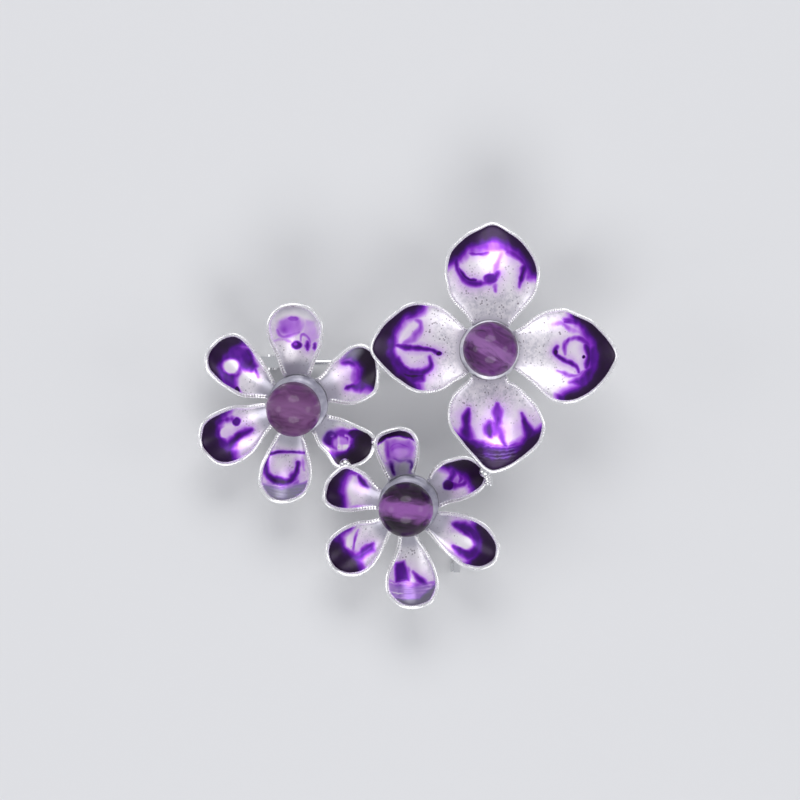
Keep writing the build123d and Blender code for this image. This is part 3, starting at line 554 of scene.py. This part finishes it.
        ("fill", [(478, 527), (484, 540), (483, 553), (473, 562), (466, 576), (506, 580), (508, 530), (490, 520)], 0.95, 15),
        ("line", [(453, 523), (462, 528), (471, 537)], (2.4, 2.6), 0.68),
        ("line", [(453, 547), (463, 552), (472, 553)], (2.0, 4.6), 0.72),
        ("wipe", (461, 541, 12.0, 5.4, 28)),
    ],
    ("lower", "s"): [
        ("shade", [(386, 585), (412, 588), (436, 585), (444, 612), (382, 612)], 0.40, 6),
        ("fill", [(390, 596), (404, 599), (420, 599), (429, 590), (436, 584), (446, 614), (380, 614)], 0.86, 6),
        ("fill", [(388, 581), (412, 583), (434, 582), (436, 600), (386, 600)], 0.42, 6),
        ("fill", [(395, 564), (403, 562), (406, 568), (409, 581), (396, 582)], 0.70, 6),
        ("line", [(397, 564), (398, 573), (397, 581)], (1.6, 2.6), 0.66),
        ("line", [(407, 568), (408, 578)], 2.2, 0.46),
        ("line", [(413, 573), (418, 579), (424, 584), (430, 588)], (1.6, 3.0), 0.56),
        ("lines", (390, 432, 581, 598, 4.6), 0.26),
    ],
    ("lower", "sw"): [
        ("fill", [(334, 536), (346, 530), (353, 528), (342, 538), (342, 549), (352, 555), (364, 551), (373, 544), (374, 550), (362, 560), (350, 567), (328, 552)], 0.70, 9),
        ("fill", [(328, 539), (337, 545), (345, 556), (355, 563), (360, 584), (312, 584), (314, 538)], 0.96, 15),
        ("wipe", (354, 542, 9.5, 7.0, -25)),
        ("line", [(358, 531), (354, 541), (352, 551)], 0.9, 0.44),
        ("line", [(373, 544), (364, 551), (355, 557)], (2.0, 3.2), 0.66),
    ],
    ("lower", "nw"): [
        ("fill", [(354, 470), (345, 479), (341, 491), (346, 504), (334, 506), (332, 478), (345, 466)], 0.64, 9),
        ("fill", [(346, 468), (338, 480), (336, 492), (340, 505), (328, 516), (308, 492), (320, 456)], 0.94, 15),
        ("line", [(345, 477), (351, 473), (358, 473)], 2.4, 0.52),
        ("line", [(359, 476), (363, 483), (369, 488)], (1.8, 2.4), 0.76),
        ("line", [(345, 506), (358, 507), (370, 506)], 1.6, 0.28),
    ],
}


def violet_and_shade(key, w, rim_distance):
    """Depth of colour and painted grey shade at places w, in millimetres, of one petal's enamel; the deepest colour,
    near-black at the tips, is violet enamel with painted shade.
    """
    gx = (w[:, 0] - SHIFT[0]) / UNIT + GX
    gy = GY - (w[:, 1] - SHIFT[1]) / UNIT
    seed = sum(map(ord, "".join(key)))
    x = gx + 1.0 * lattice_noise(gx, gy, 9.0, seed) + 0.30 * lattice_noise(gx, gy, 2.6, seed + 1)
    y = gy + 1.0 * lattice_noise(gx, gy, 9.0, seed + 2) + 0.30 * lattice_noise(gx, gy, 2.6, seed + 3)
    p, g = np.zeros_like(x), np.zeros_like(x)
    for item in VIOLET_AND_SHADE[key]:
        kind = item[0]
        if kind == "fill":
            p = np.maximum(p, item[2] * fill(x, y, item[1], item[3]))
        elif kind == "shade":
            g = np.maximum(g, item[2] * fill(x, y, item[1], item[3]))
        elif kind == "line":
            p = np.maximum(p, stroke(x, y, item[1], item[2], item[3]))
        elif kind == "oval":
            p = np.maximum(p, item[2] * oval(x, y, *item[1]))
        elif kind == "dot":
            p = np.maximum(p, item[2] * oval(x, y, item[1][0], item[1][1], item[1][2], item[1][2]))
        elif kind == "wipe":
            p = p * (1 - oval(x, y, *item[1]))
        elif kind == "fade":
            p = p * (1 - item[2] * oval(x, y, *item[1]))
        elif kind == "mottle":
            m = oval(x, y, *item[1][:4], 0, 0.4) * step(-0.2, 0.6, lattice_noise(gx, gy, 3.6, seed + 9))
            p = p * (1 - 0.85 * m)
        # lines: ripple crests, with less violet and painted grey shade along each crest
        elif kind == "lines":
            x0, x1, y0, y1, pitch = item[1]
            inside = step(x0 - 3, x0 + 3, x) * step(x1 + 3, x1 - 3, x) * step(y0 - 2, y0 + 1, y) * step(y1 + 2, y1 - 1, y)
            bow = y + 0.004 * (x - (x0 + x1) / 2) ** 2 + 1.9 * lattice_noise(gx * 0.45, gy * 0.8, 5.0, seed + 5) + 0.6 * lattice_noise(gx, gy, 2.2, seed + 6)
            crest = np.clip(np.sin(2 * math.pi * bow / pitch), 0, 1) ** 2.2 * np.clip(0.55 + 0.9 * lattice_noise(gx * 0.5, gy, 6.0, seed + 7), 0, 1)
            p = np.clip(p - 1.6 * item[2] * inside * crest, 0, 1)
            g = np.maximum(g, 1.5 * item[2] * inside * crest)
    bend = 3.0 * lattice_noise(gx, gy, 14.0, seed + 33)
    streak = lattice_noise(gx + bend, (gy + bend) * 0.35, 3.4, seed + 31) * 0.6 + lattice_noise(gx + bend, gy - bend, 7.0, seed + 32) * 0.6
    mid = 4 * p * (1 - p)
    return np.clip(p + 0.115 * streak * mid * step(0.05, 0.3, p), 0, 1), g

# ------------------------------------------------------------------ materials
def material(name):
    m = bpy.data.materials.new(name)
    m.use_nodes = True
    nt = m.node_tree
    bsdf = next(n for n in nt.nodes if n.type == "BSDF_PRINCIPLED")
    return m, nt, bsdf


def metal(name, color, rough, bump_scale, bump, metallic=1.0, coat=0.0):
    m, nt, b = material(name)
    b.inputs["Base Color"].default_value = (*color, 1)
    b.inputs["Metallic"].default_value = metallic
    b.inputs["Roughness"].default_value = rough
    b.inputs["Coat Weight"].default_value = coat
    tc = nt.nodes.new("ShaderNodeTexCoord")
    nz = nt.nodes.new("ShaderNodeTexNoise")
    nz.inputs["Scale"].default_value = bump_scale
    nz.inputs["Detail"].default_value = 3.0
    nt.links.new(tc.outputs["Object"], nz.inputs["Vector"])
    bp = nt.nodes.new("ShaderNodeBump")
    bp.inputs["Strength"].default_value = bump
    bp.inputs["Distance"].default_value = 0.00004
    nt.links.new(nz.outputs["Fac"], bp.inputs["Height"])
    nt.links.new(bp.outputs["Normal"], b.inputs["Normal"])
    mr = nt.nodes.new("ShaderNodeMapRange")
    mr.inputs["To Min"].default_value = rough * 0.7
    mr.inputs["To Max"].default_value = rough * 1.5
    nt.links.new(nz.outputs["Fac"], mr.inputs["Value"])
    nt.links.new(mr.outputs["Result"], b.inputs["Roughness"])
    return m


SILVER = metal("silver", (0.97, 0.96, 0.97), 0.24, 1300, 0.22, 0.72)
FINDING = metal("finding", (0.86, 0.86, 0.87), 0.16, 2400, 0.15)
# the hub colours are painted blue-grey shade under the beads, deeper on the tilted left and lower flowers
HUB_DEEP_SHADE = metal("shaded_hub_deep", (0.46, 0.45, 0.53), 0.46, 1300, 0.15, 0.35)
HUB_LIGHT_SHADE = metal("shaded_hub_light", (0.66, 0.65, 0.71), 0.42, 1300, 0.15, 0.45)
SOLDER = metal("solder", (0.84, 0.83, 0.84), 0.20, 2600, 0.6)


def enamel_material(name, pits):
    m, nt, b = material(name)
    N, L = nt.nodes.new, nt.links.new
    att = N("ShaderNodeAttribute")
    att.attribute_name = "violet_and_shade"
    shade = N("ShaderNodeAttribute")
    shade.attribute_name = "shade_and_cloud"
    tc = N("ShaderNodeTexCoord")
    wob = N("ShaderNodeTexNoise")
    wob.inputs["Scale"].default_value = 1400
    wob.inputs["Detail"].default_value = 4.0
    L(tc.outputs["Object"], wob.inputs["Vector"])
    # violet depth, its near-black tips partly painted shade, plus small cloudiness
    add = N("ShaderNodeMath")
    add.operation = "MULTIPLY_ADD"
    sub = N("ShaderNodeMath")
    sub.operation = "SUBTRACT"
    L(wob.outputs["Fac"], sub.inputs[0])
    sub.inputs[1].default_value = 0.5
    gain = N("ShaderNodeMath")
    gain.operation = "MULTIPLY"
    L(att.outputs["Fac"], gain.inputs[0])
    gain.inputs[1].default_value = 0.12
    L(sub.outputs[0], add.inputs[0])
    L(gain.outputs[0], add.inputs[1])
    L(att.outputs["Fac"], add.inputs[2])
    ramp = N("ShaderNodeValToRGB")
    cr = ramp.color_ramp
    # clear to deep violet; the near-black end is partly painted shade, where the upturned tips face dark surroundings
    stops = [(0.00, (0.95, 0.91, 0.95)), (0.10, (0.88, 0.74, 0.93)), (0.26, (0.60, 0.27, 0.88)),
             (0.46, (0.28, 0.030, 0.62)), (0.64, (0.095, 0.001, 0.300)), (0.82, (0.030, 0.002, 0.066)),
             (1.00, (0.012, 0.002, 0.018))]
    while len(cr.elements) < len(stops):
        cr.elements.new(0.5)
    for e, (pos, col) in zip(cr.elements, stops):
        e.position = pos
        e.color = (*col, 1)
    L(add.outputs[0], ramp.inputs["Fac"])
    # mixed toward blue-grey: painted shade beside the hub, along the rim edges, on ripple crests and in the shade
    # marks, and cloudy speckle toward the hub
    mix = N("ShaderNodeMix")
    mix.data_type = "RGBA"
    L(shade.outputs["Fac"], mix.inputs["Factor"])
    L(ramp.outputs["Color"], mix.inputs["A"])
    mix.inputs["B"].default_value = (0.42, 0.41, 0.49, 1)
    # small pits in the clear enamel
    vor = N("ShaderNodeTexVoronoi")
    vor.inputs["Scale"].default_value = 2900
    vor.inputs["Randomness"].default_value = 1.0
    L(tc.outputs["Object"], vor.inputs["Vector"])
    near = N("ShaderNodeMapRange")
    near.inputs["From Min"].default_value = 0.15
    near.inputs["From Max"].default_value = 0.30
    near.inputs["To Min"].default_value = 1.0
    near.inputs["To Max"].default_value = 0.0
    size = N("ShaderNodeTexNoise")
    size.inputs["Scale"].default_value = 1500
    size.inputs["Detail"].default_value = 0.0
    L(tc.outputs["Object"], size.inputs["Vector"])
    uneven = N("ShaderNodeMath")
    uneven.operation = "MULTIPLY_ADD"
    L(size.outputs["Fac"], uneven.inputs[0])
    uneven.inputs[1].default_value = 0.55
    L(vor.outputs["Distance"], uneven.inputs[2])
    less = N("ShaderNodeMath")
    less.operation = "SUBTRACT"
    L(uneven.outputs[0], less.inputs[0])
    less.inputs[1].default_value = 0.24
    L(less.outputs[0], near.inputs["Value"])
    few = N("ShaderNodeTexNoise")
    few.inputs["Scale"].default_value = 620
    few.inputs["Detail"].default_value = 1.0
    L(tc.outputs["Object"], few.inputs["Vector"])
    few2 = N("ShaderNodeMapRange")
    few2.inputs["From Min"].default_value = 0.34
    few2.inputs["From Max"].default_value = 0.50
    L(few.outputs["Fac"], few2.inputs["Value"])
    where = N("ShaderNodeAttribute")
    where.attribute_name = "pits"
    m1 = N("ShaderNodeMath")
    m1.operation = "MULTIPLY"
    L(near.outputs["Result"], m1.inputs[0])
    L(few2.outputs["Result"], m1.inputs[1])
    m2 = N("ShaderNodeMath")
    m2.operation = "MULTIPLY"
    L(m1.outputs[0], m2.inputs[0])
    L(where.outputs["Fac"], m2.inputs[1])
    m3 = N("ShaderNodeMath")
    m3.operation = "MULTIPLY"
    m3.use_clamp = True
    L(m2.outputs[0], m3.inputs[0])
    m3.inputs[1].default_value = pits
    dark = N("ShaderNodeMix")
    dark.data_type = "RGBA"
    L(m3.outputs[0], dark.inputs["Factor"])
    L(mix.outputs["Result"], dark.inputs["A"])
    dark.inputs["B"].default_value = (0.17, 0.13, 0.18, 1)
    L(dark.outputs["Result"], b.inputs["Base Color"])
    b.inputs["Metallic"].default_value = 0.45
    b.inputs["Roughness"].default_value = 0.34
    b.inputs["Specular IOR Level"].default_value = 0.22
    b.inputs["Coat Weight"].default_value = 0.24
    b.inputs["Coat Roughness"].default_value = 0.24
    b.inputs["Coat IOR"].default_value = 1.55
    bp = N("ShaderNodeBump")
    bp.inputs["Strength"].default_value = 0.16
    bp.inputs["Distance"].default_value = 0.00005
    L(wob.outputs["Fac"], bp.inputs["Height"])
    L(bp.outputs["Normal"], b.inputs["Normal"])
    return m


ENAMEL = {"large": enamel_material("enamel_large", 1.0),
          "left": enamel_material("enamel_left", 0.8),
          "lower": enamel_material("enamel_lower", 0.8)}


def resin_material(name, color):
    m, nt, b = material(name)
    tc = nt.nodes.new("ShaderNodeTexCoord")
    nz = nt.nodes.new("ShaderNodeTexNoise")
    nz.inputs["Scale"].default_value = 900
    nz.inputs["Detail"].default_value = 3.0
    nt.links.new(tc.outputs["Object"], nz.inputs["Vector"])
    ramp = nt.nodes.new("ShaderNodeValToRGB")
    ramp.color_ramp.elements[0].position = 0.34
    ramp.color_ramp.elements[0].color = (color[0] * 0.72, color[1] * 0.72, color[2] * 0.78, 1)
    ramp.color_ramp.elements[1].position = 0.64
    ramp.color_ramp.elements[1].color = (min(1, color[0] * 1.18), min(1, color[1] * 1.18), min(1, color[2] * 1.14), 1)
    nt.links.new(nz.outputs["Fac"], ramp.inputs["Fac"])
    nt.links.new(ramp.outputs["Color"], b.inputs["Base Color"])
    b.inputs["Metallic"].default_value = 0.35
    b.inputs["Roughness"].default_value = 0.42
    b.inputs["Coat Weight"].default_value = 0.35
    b.inputs["Coat Roughness"].default_value = 0.20
    return m


# bedding colours are painted blue-grey shade under the beads on clear resin, deeper on the left and lower flowers, with
# a noise mottle
RESIN_SHADED = {"large": resin_material("resin_shade_large", (0.66, 0.65, 0.71, 1)),
         "left": resin_material("resin_shade_left", (0.42, 0.41, 0.49, 1)),
         "lower": resin_material("resin_shade_lower", (0.40, 0.39, 0.47, 1))}


def bead_material(name, dark, mid, glow_color, angle, offset, strength, width):
    """Purple stone with a streaky mottle and a painted band of light glowing through it."""
    m, nt, b = material(name)
    N, L = nt.nodes.new, nt.links.new
    tc = N("ShaderNodeTexCoord")
    mp = N("ShaderNodeMapping")
    mp.inputs["Location"].default_value = offset
    mp.inputs["Rotation"].default_value = angle
    L(tc.outputs["Object"], mp.inputs["Vector"])
    big = N("ShaderNodeTexNoise")
    big.inputs["Scale"].default_value = 620
    big.inputs["Detail"].default_value = 5
    big.inputs["Distortion"].default_value = 1.1
    squash = N("ShaderNodeMapping")
    squash.name = "Streaks"
    squash.inputs["Scale"].default_value = (0.42, 1.7, 0.8)
    L(mp.outputs["Vector"], squash.inputs["Vector"])
    L(squash.outputs["Vector"], big.inputs["Vector"])
    sep = N("ShaderNodeSeparateXYZ")
    L(mp.outputs["Vector"], sep.inputs[0])
    # the painted glow band lies where the turned y is near nought
    off = N("ShaderNodeMath")
    off.operation = "MULTIPLY_ADD"
    L(big.outputs["Fac"], off.inputs[0])
    off.inputs[1].default_value = 0.0022
    L(sep.outputs["Y"], off.inputs[2])
    sh = N("ShaderNodeMath")
    sh.operation = "ADD"
    L(off.outputs[0], sh.inputs[0])
    sh.inputs[1].default_value = -0.0011
    ab = N("ShaderNodeMath")
    ab.operation = "ABSOLUTE"
    L(sh.outputs[0], ab.inputs[0])
    mr = N("ShaderNodeMapRange")
    mr.interpolation_type = "SMOOTHSTEP"
    mr.inputs["From Min"].default_value = width * 0.30
    mr.inputs["From Max"].default_value = width * 1.75
    mr.inputs["To Min"].default_value = strength
    mr.inputs["To Max"].default_value = 0.0
    L(ab.outputs[0], mr.inputs["Value"])
    ramp = N("ShaderNodeValToRGB")
    cr = ramp.color_ramp
    lo, hi = (0.28, 0.74) if name == "bead_left" else (0.36, 0.64)
    cr.elements[0].position, cr.elements[0].color = lo, (*dark, 1)
    cr.elements[1].position, cr.elements[1].color = hi, (*mid, 1)
    L(big.outputs["Fac"], ramp.inputs["Fac"])
    # painted light: the band is the glow of light passing through the translucent bead, over the stone's mottle
    mix = N("ShaderNodeMix")
    mix.data_type = "RGBA"
    L(mr.outputs["Result"], mix.inputs["Factor"])
    L(ramp.outputs["Color"], mix.inputs["A"])
    mix.inputs["B"].default_value = (*glow_color, 1)
    L(mix.outputs["Result"], b.inputs["Base Color"])
    b.inputs["Roughness"].default_value = 0.46
    b.inputs["Specular IOR Level"].default_value = 0.14
    b.inputs["Coat Weight"].default_value = 0.38
    b.inputs["Coat Roughness"].default_value = 0.09
    b.inputs["Subsurface Weight"].default_value = 0.0
    b.inputs["IOR"].default_value = 1.54
    return m


BEADS = {
    "large": bead_material("bead_large", (0.048, 0.008, 0.062), (0.165, 0.045, 0.215), (0.34, 0.150, 0.42),
                           (0, 0, math.radians(-28)), (0, 0, 0), 0.75, 0.0006),
    "left": bead_material("bead_left", (0.055, 0.010, 0.060), (0.190, 0.065, 0.205), (0.26, 0.110, 0.28),
                          (0, 0, math.radians(-6)), (0, 0, 0), 0.55, 0.0009),
    "lower": bead_material("bead_lower", (0.006, 0.002, 0.008), (0.030, 0.008, 0.038), (0.27, 0.090, 0.35),
                           (0, 0, math.radians(-5)), (0, 0, 0), 1.0, 0.0009),
}


def build_petal(flower, name):
    p = Petal(flower, name)
    large = flower == "large"
    RIM_W = 0.40 if large else 0.47
    n_line, n_arc = (900, 60) if large else (460, 50)
    plan, inward, rim, length = p.loop(n_line, n_arc)
    seed = sum(map(ord, flower + name))
    # hammered rim: small wanderings in height and width
    hz = 0.024 * lattice_noise(length, length * 0 + seed, 0.75, seed) + 0.007 * lattice_noise(length, length * 0, 0.25, seed + 3)
    hw = 0.030 * (0.5 + 0.5 * lattice_noise(length, length * 0 + seed, 0.7, seed + 7))
    loc = p.local(plan)
    if large:
        # a row of tiny grains where the rim narrows to the hub
        grain = step(p.tip_u * 0.60, p.tip_u * 0.36, loc[:, 0])
        hz = hz + 0.050 * grain * np.sin(2 * math.pi * length / 0.27)
        hw = hw + 0.034 * grain * (0.5 + 0.5 * np.sin(2 * math.pi * length / 0.27 + 1.0))
    else:
        grain = step(p.tip_u * 0.62, p.tip_u * 0.40, loc[:, 0])
        hz = hz + 0.014 * grain * np.sin(2 * math.pi * length / 0.30)

    def ring(d, z, wob=0.0, in_=0.0):
        w = plan + inward * (d + hw * in_)[:, None] if isinstance(d, np.ndarray) else plan + inward * (np.full(len(plan), d) + hw * in_)[:, None]
        return np.c_[w, p.floor(w) + z + hz * wob * rim]

    one = np.ones(len(plan))
    rings = [
        ring(RIM_W + 0.06, one * 0.10),
        ring(RIM_W + 0.01, 0.24 * one + 0.10 * rim, 0.4, 0.3),
        ring(RIM_W - 0.06, 0.24 * one + 0.17 * rim, 0.9, 0.3),
        ring(RIM_W - 0.13, 0.24 * one + 0.205 * rim, 1.0, 0.3),
        ring(RIM_W * 0.42, 0.24 * one + 0.21 * rim, 1.0, 0.6),
        ring(RIM_W * 0.22, 0.24 * one + 0.175 * rim, 0.9, 0.9),
        ring(0.035, 0.24 * one + 0.08 * rim, 0.6, 1.0),
        ring(0.004, 0.20 * one, 0.2, 0.8),
        ring(0.004, -0.12 * one),
        ring(0.03, -0.30 * one),
        ring(0.10, -0.42 * one),
        ring(0.22, -0.485 * one),
        ring(0.36, -0.50 * one),
    ]
    base = plan + inward * 0.36
    for t in (0.86, 0.72, 0.58, 0.44, 0.30, 0.16, 0.06):
        w = p.centre + (base - p.centre) * t
        rings.append(np.c_[w, p.floor(w) - 0.50])
    c = np.r_[p.centre, p.floor(p.centre)[0] - 0.50]
    verts, faces = stitch(rings, close_top=c)
    add_mesh(f"v_{flower}_petal_{name}", verts, faces, SILVER, [f"{flower}_petal_{name}"])

    # enamel
    edge = inset_loop(p, RIM_W - 0.03, 340 if large else 240)
    ts = np.r_[1.0, 0.99, 0.975, 0.955, 0.93, np.linspace(0.90, 0.02, 62 if large else 44)]
    rings, dist = [], []
    reach = np.hypot(*(edge - p.centre).T)
    for t in ts:
        w = p.centre + (edge - p.centre) * t
        d = reach * (1 - t)
        men = 0.075 * np.exp(-d / 0.14) * step(0.1, 0.6, np.hypot(*(w - p.hub).T) - HUB_R)
        rings.append(np.c_[w, p.floor(w) + ENAMEL_H + men + relief(flower, name, p, w, d)])
        dist.append(d)
    c = np.r_[p.centre, p.floor(p.centre)[0] + ENAMEL_H + relief(flower, name, p, p.centre[None], np.array([9.0]))[0]]
    verts, faces = stitch(rings, close_top=c)
    dist = np.r_[np.concatenate(dist), 9.0]
    w = verts[:, :2]
    q = p.local(w)
    from_hub = np.hypot(*(w - p.hub).T) - HUB_R
    gi, shade = violet_and_shade((flower, name), w, dist)
    # painted blue-grey shade on the neck beside the hub, under the bead, deeper on the left and lower flowers
    neck_len = 0.35 if large else 1.75
    shade_and_cloud = step(neck_len + 0.5, neck_len * 0.5, from_hub) * (0.50 if large else 0.85)
    wander = lattice_noise(w[:, 0], w[:, 1], 0.9, seed)
    # painted shade along the enamel's edge by the rim, mottled; cloudy speckle in the clear enamel toward the hub
    fleck = 0.5 + 0.45 * lattice_noise(w[:, 0], w[:, 1], 0.34, seed + 41) + 0.55 * lattice_noise(w[:, 0], w[:, 1], 0.13, seed + 42)
    edge_shade = step(1.25, 0.05, dist) * np.clip(fleck, 0, 1) * 0.52
    base_cloud = step(p.tip_u * 0.62, p.tip_u * 0.36, q[:, 0] + wander) * np.clip(fleck - 0.10, 0, 1) * 0.55
    clear = step(0.34, 0.06, gi)
    shade_and_cloud = np.maximum.reduce([shade_and_cloud * step(0.75, 0.25, gi), shade, edge_shade * clear, base_cloud * clear])
    pits = step(p.tip_u * 0.78, p.tip_u * 0.45, q[:, 0] + wander * 1.2) * (1 - np.minimum(shade_and_cloud, 0.6)) * clear
    add_mesh(f"v_{flower}_enamel_{name}", verts, faces, ENAMEL[flower], [f"{flower}_enamel_{name}"],
             attributes={"violet_and_shade": gi, "shade_and_cloud": shade_and_cloud, "pits": pits})


def relief(flower, name, p, w, d):
    """Unevenness of the enamel's surface, in millimetres."""
    seed = sum(map(ord, flower + name))
    z = 0.016 * lattice_noise(w[:, 0], w[:, 1], 1.7, seed) + 0.004 * lattice_noise(w[:, 0], w[:, 1], 0.5, seed + 2)
    q = p.local(w)
    key = (flower, name)
    if key in RIPPLES:
        u0, u1, pitch, height = RIPPLES[key]
        inside = step(u0, u0 + 0.3, q[:, 0]) * step(u1, u1 - 0.3, q[:, 0]) * step(0.2, 0.6, d)
        bend = q[:, 0] + 0.05 * q[:, 1] ** 2 + 0.08 * lattice_noise(w[:, 0], w[:, 1], 0.8, seed + 4)
        z = z + height * inside * np.sin(2 * math.pi * bend / pitch)
    return z


RIPPLES = {
    ("large", "south"): (10.3, 12.2, 0.42, 0.010),
    ("left", "s"): (8.2, 9.7, 0.40, 0.013),
    ("lower", "s"): (8.3, 9.7, 0.44, 0.013),
}

for key in OUTLINES:
    build_petal(*key)

# ------------------------------------------------------------------ hub, bedding and bead of each flower
def lathe(profile, n=160):
    a = np.linspace(0, 2 * math.pi, n, endpoint=False)
    loops = [np.c_[r * np.cos(a), r * np.sin(a), np.full(n, z)] for r, z in profile]
    return loops


def place(flower, pts):
    (bx, by), z0, lean, toward = FLOWERS[flower]
    n = normal_of(lean, toward)
    x = np.array([n[2], 0, -n[0]])
    x /= np.linalg.norm(x)
    y = np.cross(n, x)
    o = np.array([bx, by, z0]) - np.array([n[0], n[1], 0]) * (HUB_ABOVE + BEAD_R)
    return o + pts[:, :1] * x + pts[:, 1:2] * y + pts[:, 2:3] * n


for flower in FLOWERS:
    # hub: a disc with a softened edge and a thin raised wire round the top
    prof = [(0.30, HUB_ABOVE - 0.06), (3.16, HUB_ABOVE - 0.06), (3.20, HUB_ABOVE - 0.035), (3.235, HUB_ABOVE - 0.03),
            (3.27, HUB_ABOVE - 0.05), (3.29, HUB_ABOVE - 0.10), (3.295, -0.35), (3.26, -0.50), (3.15, -0.59), (2.9, -HUB_BELOW), (0.3, -HUB_BELOW)]
    loops = lathe(prof)
    v, f = stitch(loops, close_top=np.array([0, 0, -HUB_BELOW]), close_bottom=np.array([0, 0, HUB_ABOVE - 0.06]), flip=True)
    add_mesh(f"v_{flower}_hub", place(flower, v), f, HUB_LIGHT_SHADE if flower == "large" else HUB_DEEP_SHADE, [f"{flower}_hub"])
    # clear bedding: fills the disc inside the wire and climbs the bead
    prof = [(3.235, HUB_ABOVE - 0.045), (3.19, HUB_ABOVE + 0.0), (3.1, HUB_ABOVE + 0.03), (3.0, HUB_ABOVE + 0.07), (2.85, HUB_ABOVE + 0.14), (2.7, HUB_ABOVE + 0.25), (2.55, HUB_ABOVE + 0.42),
            (2.42, HUB_ABOVE + 0.62), (2.32, HUB_ABOVE + 0.84), (2.25, HUB_ABOVE + 0.93), (2.0, HUB_ABOVE + 0.75)]
    loops = lathe(prof)
    v, f = stitch(loops, flip=False)
    add_mesh(f"v_{flower}_bedding", place(flower, v), f, RESIN_SHADED[flower], [f"{flower}_bedding"])
    # bead, with its drilled hole hidden underneath
    t = np.linspace(0, math.pi - 0.15, 90)[1:]
    rb = BEAD_R - 0.004
    prof = [(rb * math.sin(a), HUB_ABOVE + BEAD_R + rb * math.cos(a)) for a in t]
    prof += [(0.448, HUB_ABOVE + 0.3), (0.448, HUB_ABOVE + 3.4)]
    loops = lathe(prof, 180)
    v, f = stitch(loops, close_bottom=np.array([0, 0, HUB_ABOVE + BEAD_R + rb]))
    v = place(flower, v)
    (bx, by), z0, lean, toward = FLOWERS[flower]
    n = normal_of(lean, toward)
    centre = np.array([bx, by, z0 + n[2] * (HUB_ABOVE + BEAD_R)])
    ob = add_mesh(f"v_{flower}_bead", v, f, BEADS[flower], [f"{flower}_bead"])
    BEADS[flower].node_tree.nodes["Mapping"].vector_type = "TEXTURE"
    BEADS[flower].node_tree.nodes["Mapping"].inputs["Location"].default_value = tuple(centre * MM)

# ------------------------------------------------------------------ pieces shown as their CAD nodes
for name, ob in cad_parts.items():
    if name.startswith("solder"):
        mat = SOLDER
    elif name in ("pin_stem", "catch_rotor", "catch_body", "hinge_bracket", "hinge_rivet", "link_wire", "foot_strip"):
        mat = FINDING
    else:
        mat = SILVER
    ob.data.materials.clear()
    ob.data.materials.append(mat)

# ------------------------------------------------------------------ stage, light and camera
me = bpy.data.meshes.new("floor")
S_ = 3.0
me.from_pydata([(-S_, -S_, -0.00002), (S_, -S_, -0.00002), (S_, S_, -0.00002), (-S_, S_, -0.00002)], [], [(0, 1, 2, 3)])
floor = bpy.data.objects.new("floor", me)
bpy.context.scene.collection.objects.link(floor)
fm, fnt, fb = material("floor")
fb.inputs["Base Color"].default_value = (0.72, 0.72, 0.73, 1)
fb.inputs["Roughness"].default_value = 0.85
fb.inputs["Specular IOR Level"].default_value = 0.2
me.materials.append(fm)


def softbox(name, loc, size, power, aim=(0, 0, 0.006)):
    ld = bpy.data.lights.new(name, "AREA")
    ld.shape = "ELLIPSE"
    ld.size, ld.size_y = size
    ld.energy = power
    ob = bpy.data.objects.new(name, ld)
    bpy.context.scene.collection.objects.link(ob)
    ob.location = loc
    ob.rotation_euler = (Vector(aim) - Vector(loc)).to_track_quat("-Z", "Y").to_euler()
    ob.visible_camera = False
    return ob


softbox("key_far", (0.0, 0.42, 0.42), (0.46, 0.32), 1.30)
softbox("key_near", (0.0, -0.42, 0.42), (0.46, 0.32), 1.30)
softbox("side_left", (-0.62, 0.0, 0.30), (0.26, 0.30), 0.45)
softbox("side_right", (0.62, 0.0, 0.30), (0.26, 0.30), 0.45)

world = bpy.data.worlds.new("world")
bpy.context.scene.world = world
world.use_nodes = True
bg = next(n for n in world.node_tree.nodes if n.type == "BACKGROUND")
bg.inputs["Color"].default_value = (0.92, 0.94, 1.0, 1)
bg.inputs["Strength"].default_value = 0.50

cd = bpy.data.cameras.new("camera")
cam = bpy.data.objects.new("camera", cd)
bpy.context.scene.collection.objects.link(cam)
bpy.context.scene.camera = cam
cd.lens = 420
cd.sensor_width = 36
cx, cy = from_grid(400, 400)
plane = 6.8
cam.location = (cx * MM, cy * MM, (plane + 800 * UNIT * cd.lens / cd.sensor_width) * MM)
cam.rotation_euler = (0, 0, 0)
cd.clip_start, cd.clip_end = 0.01, 10

bpy.context.scene.view_settings.view_transform = "Standard"
bpy.context.scene.view_settings.look = "None"
bpy.context.scene.view_settings.exposure = 0.0
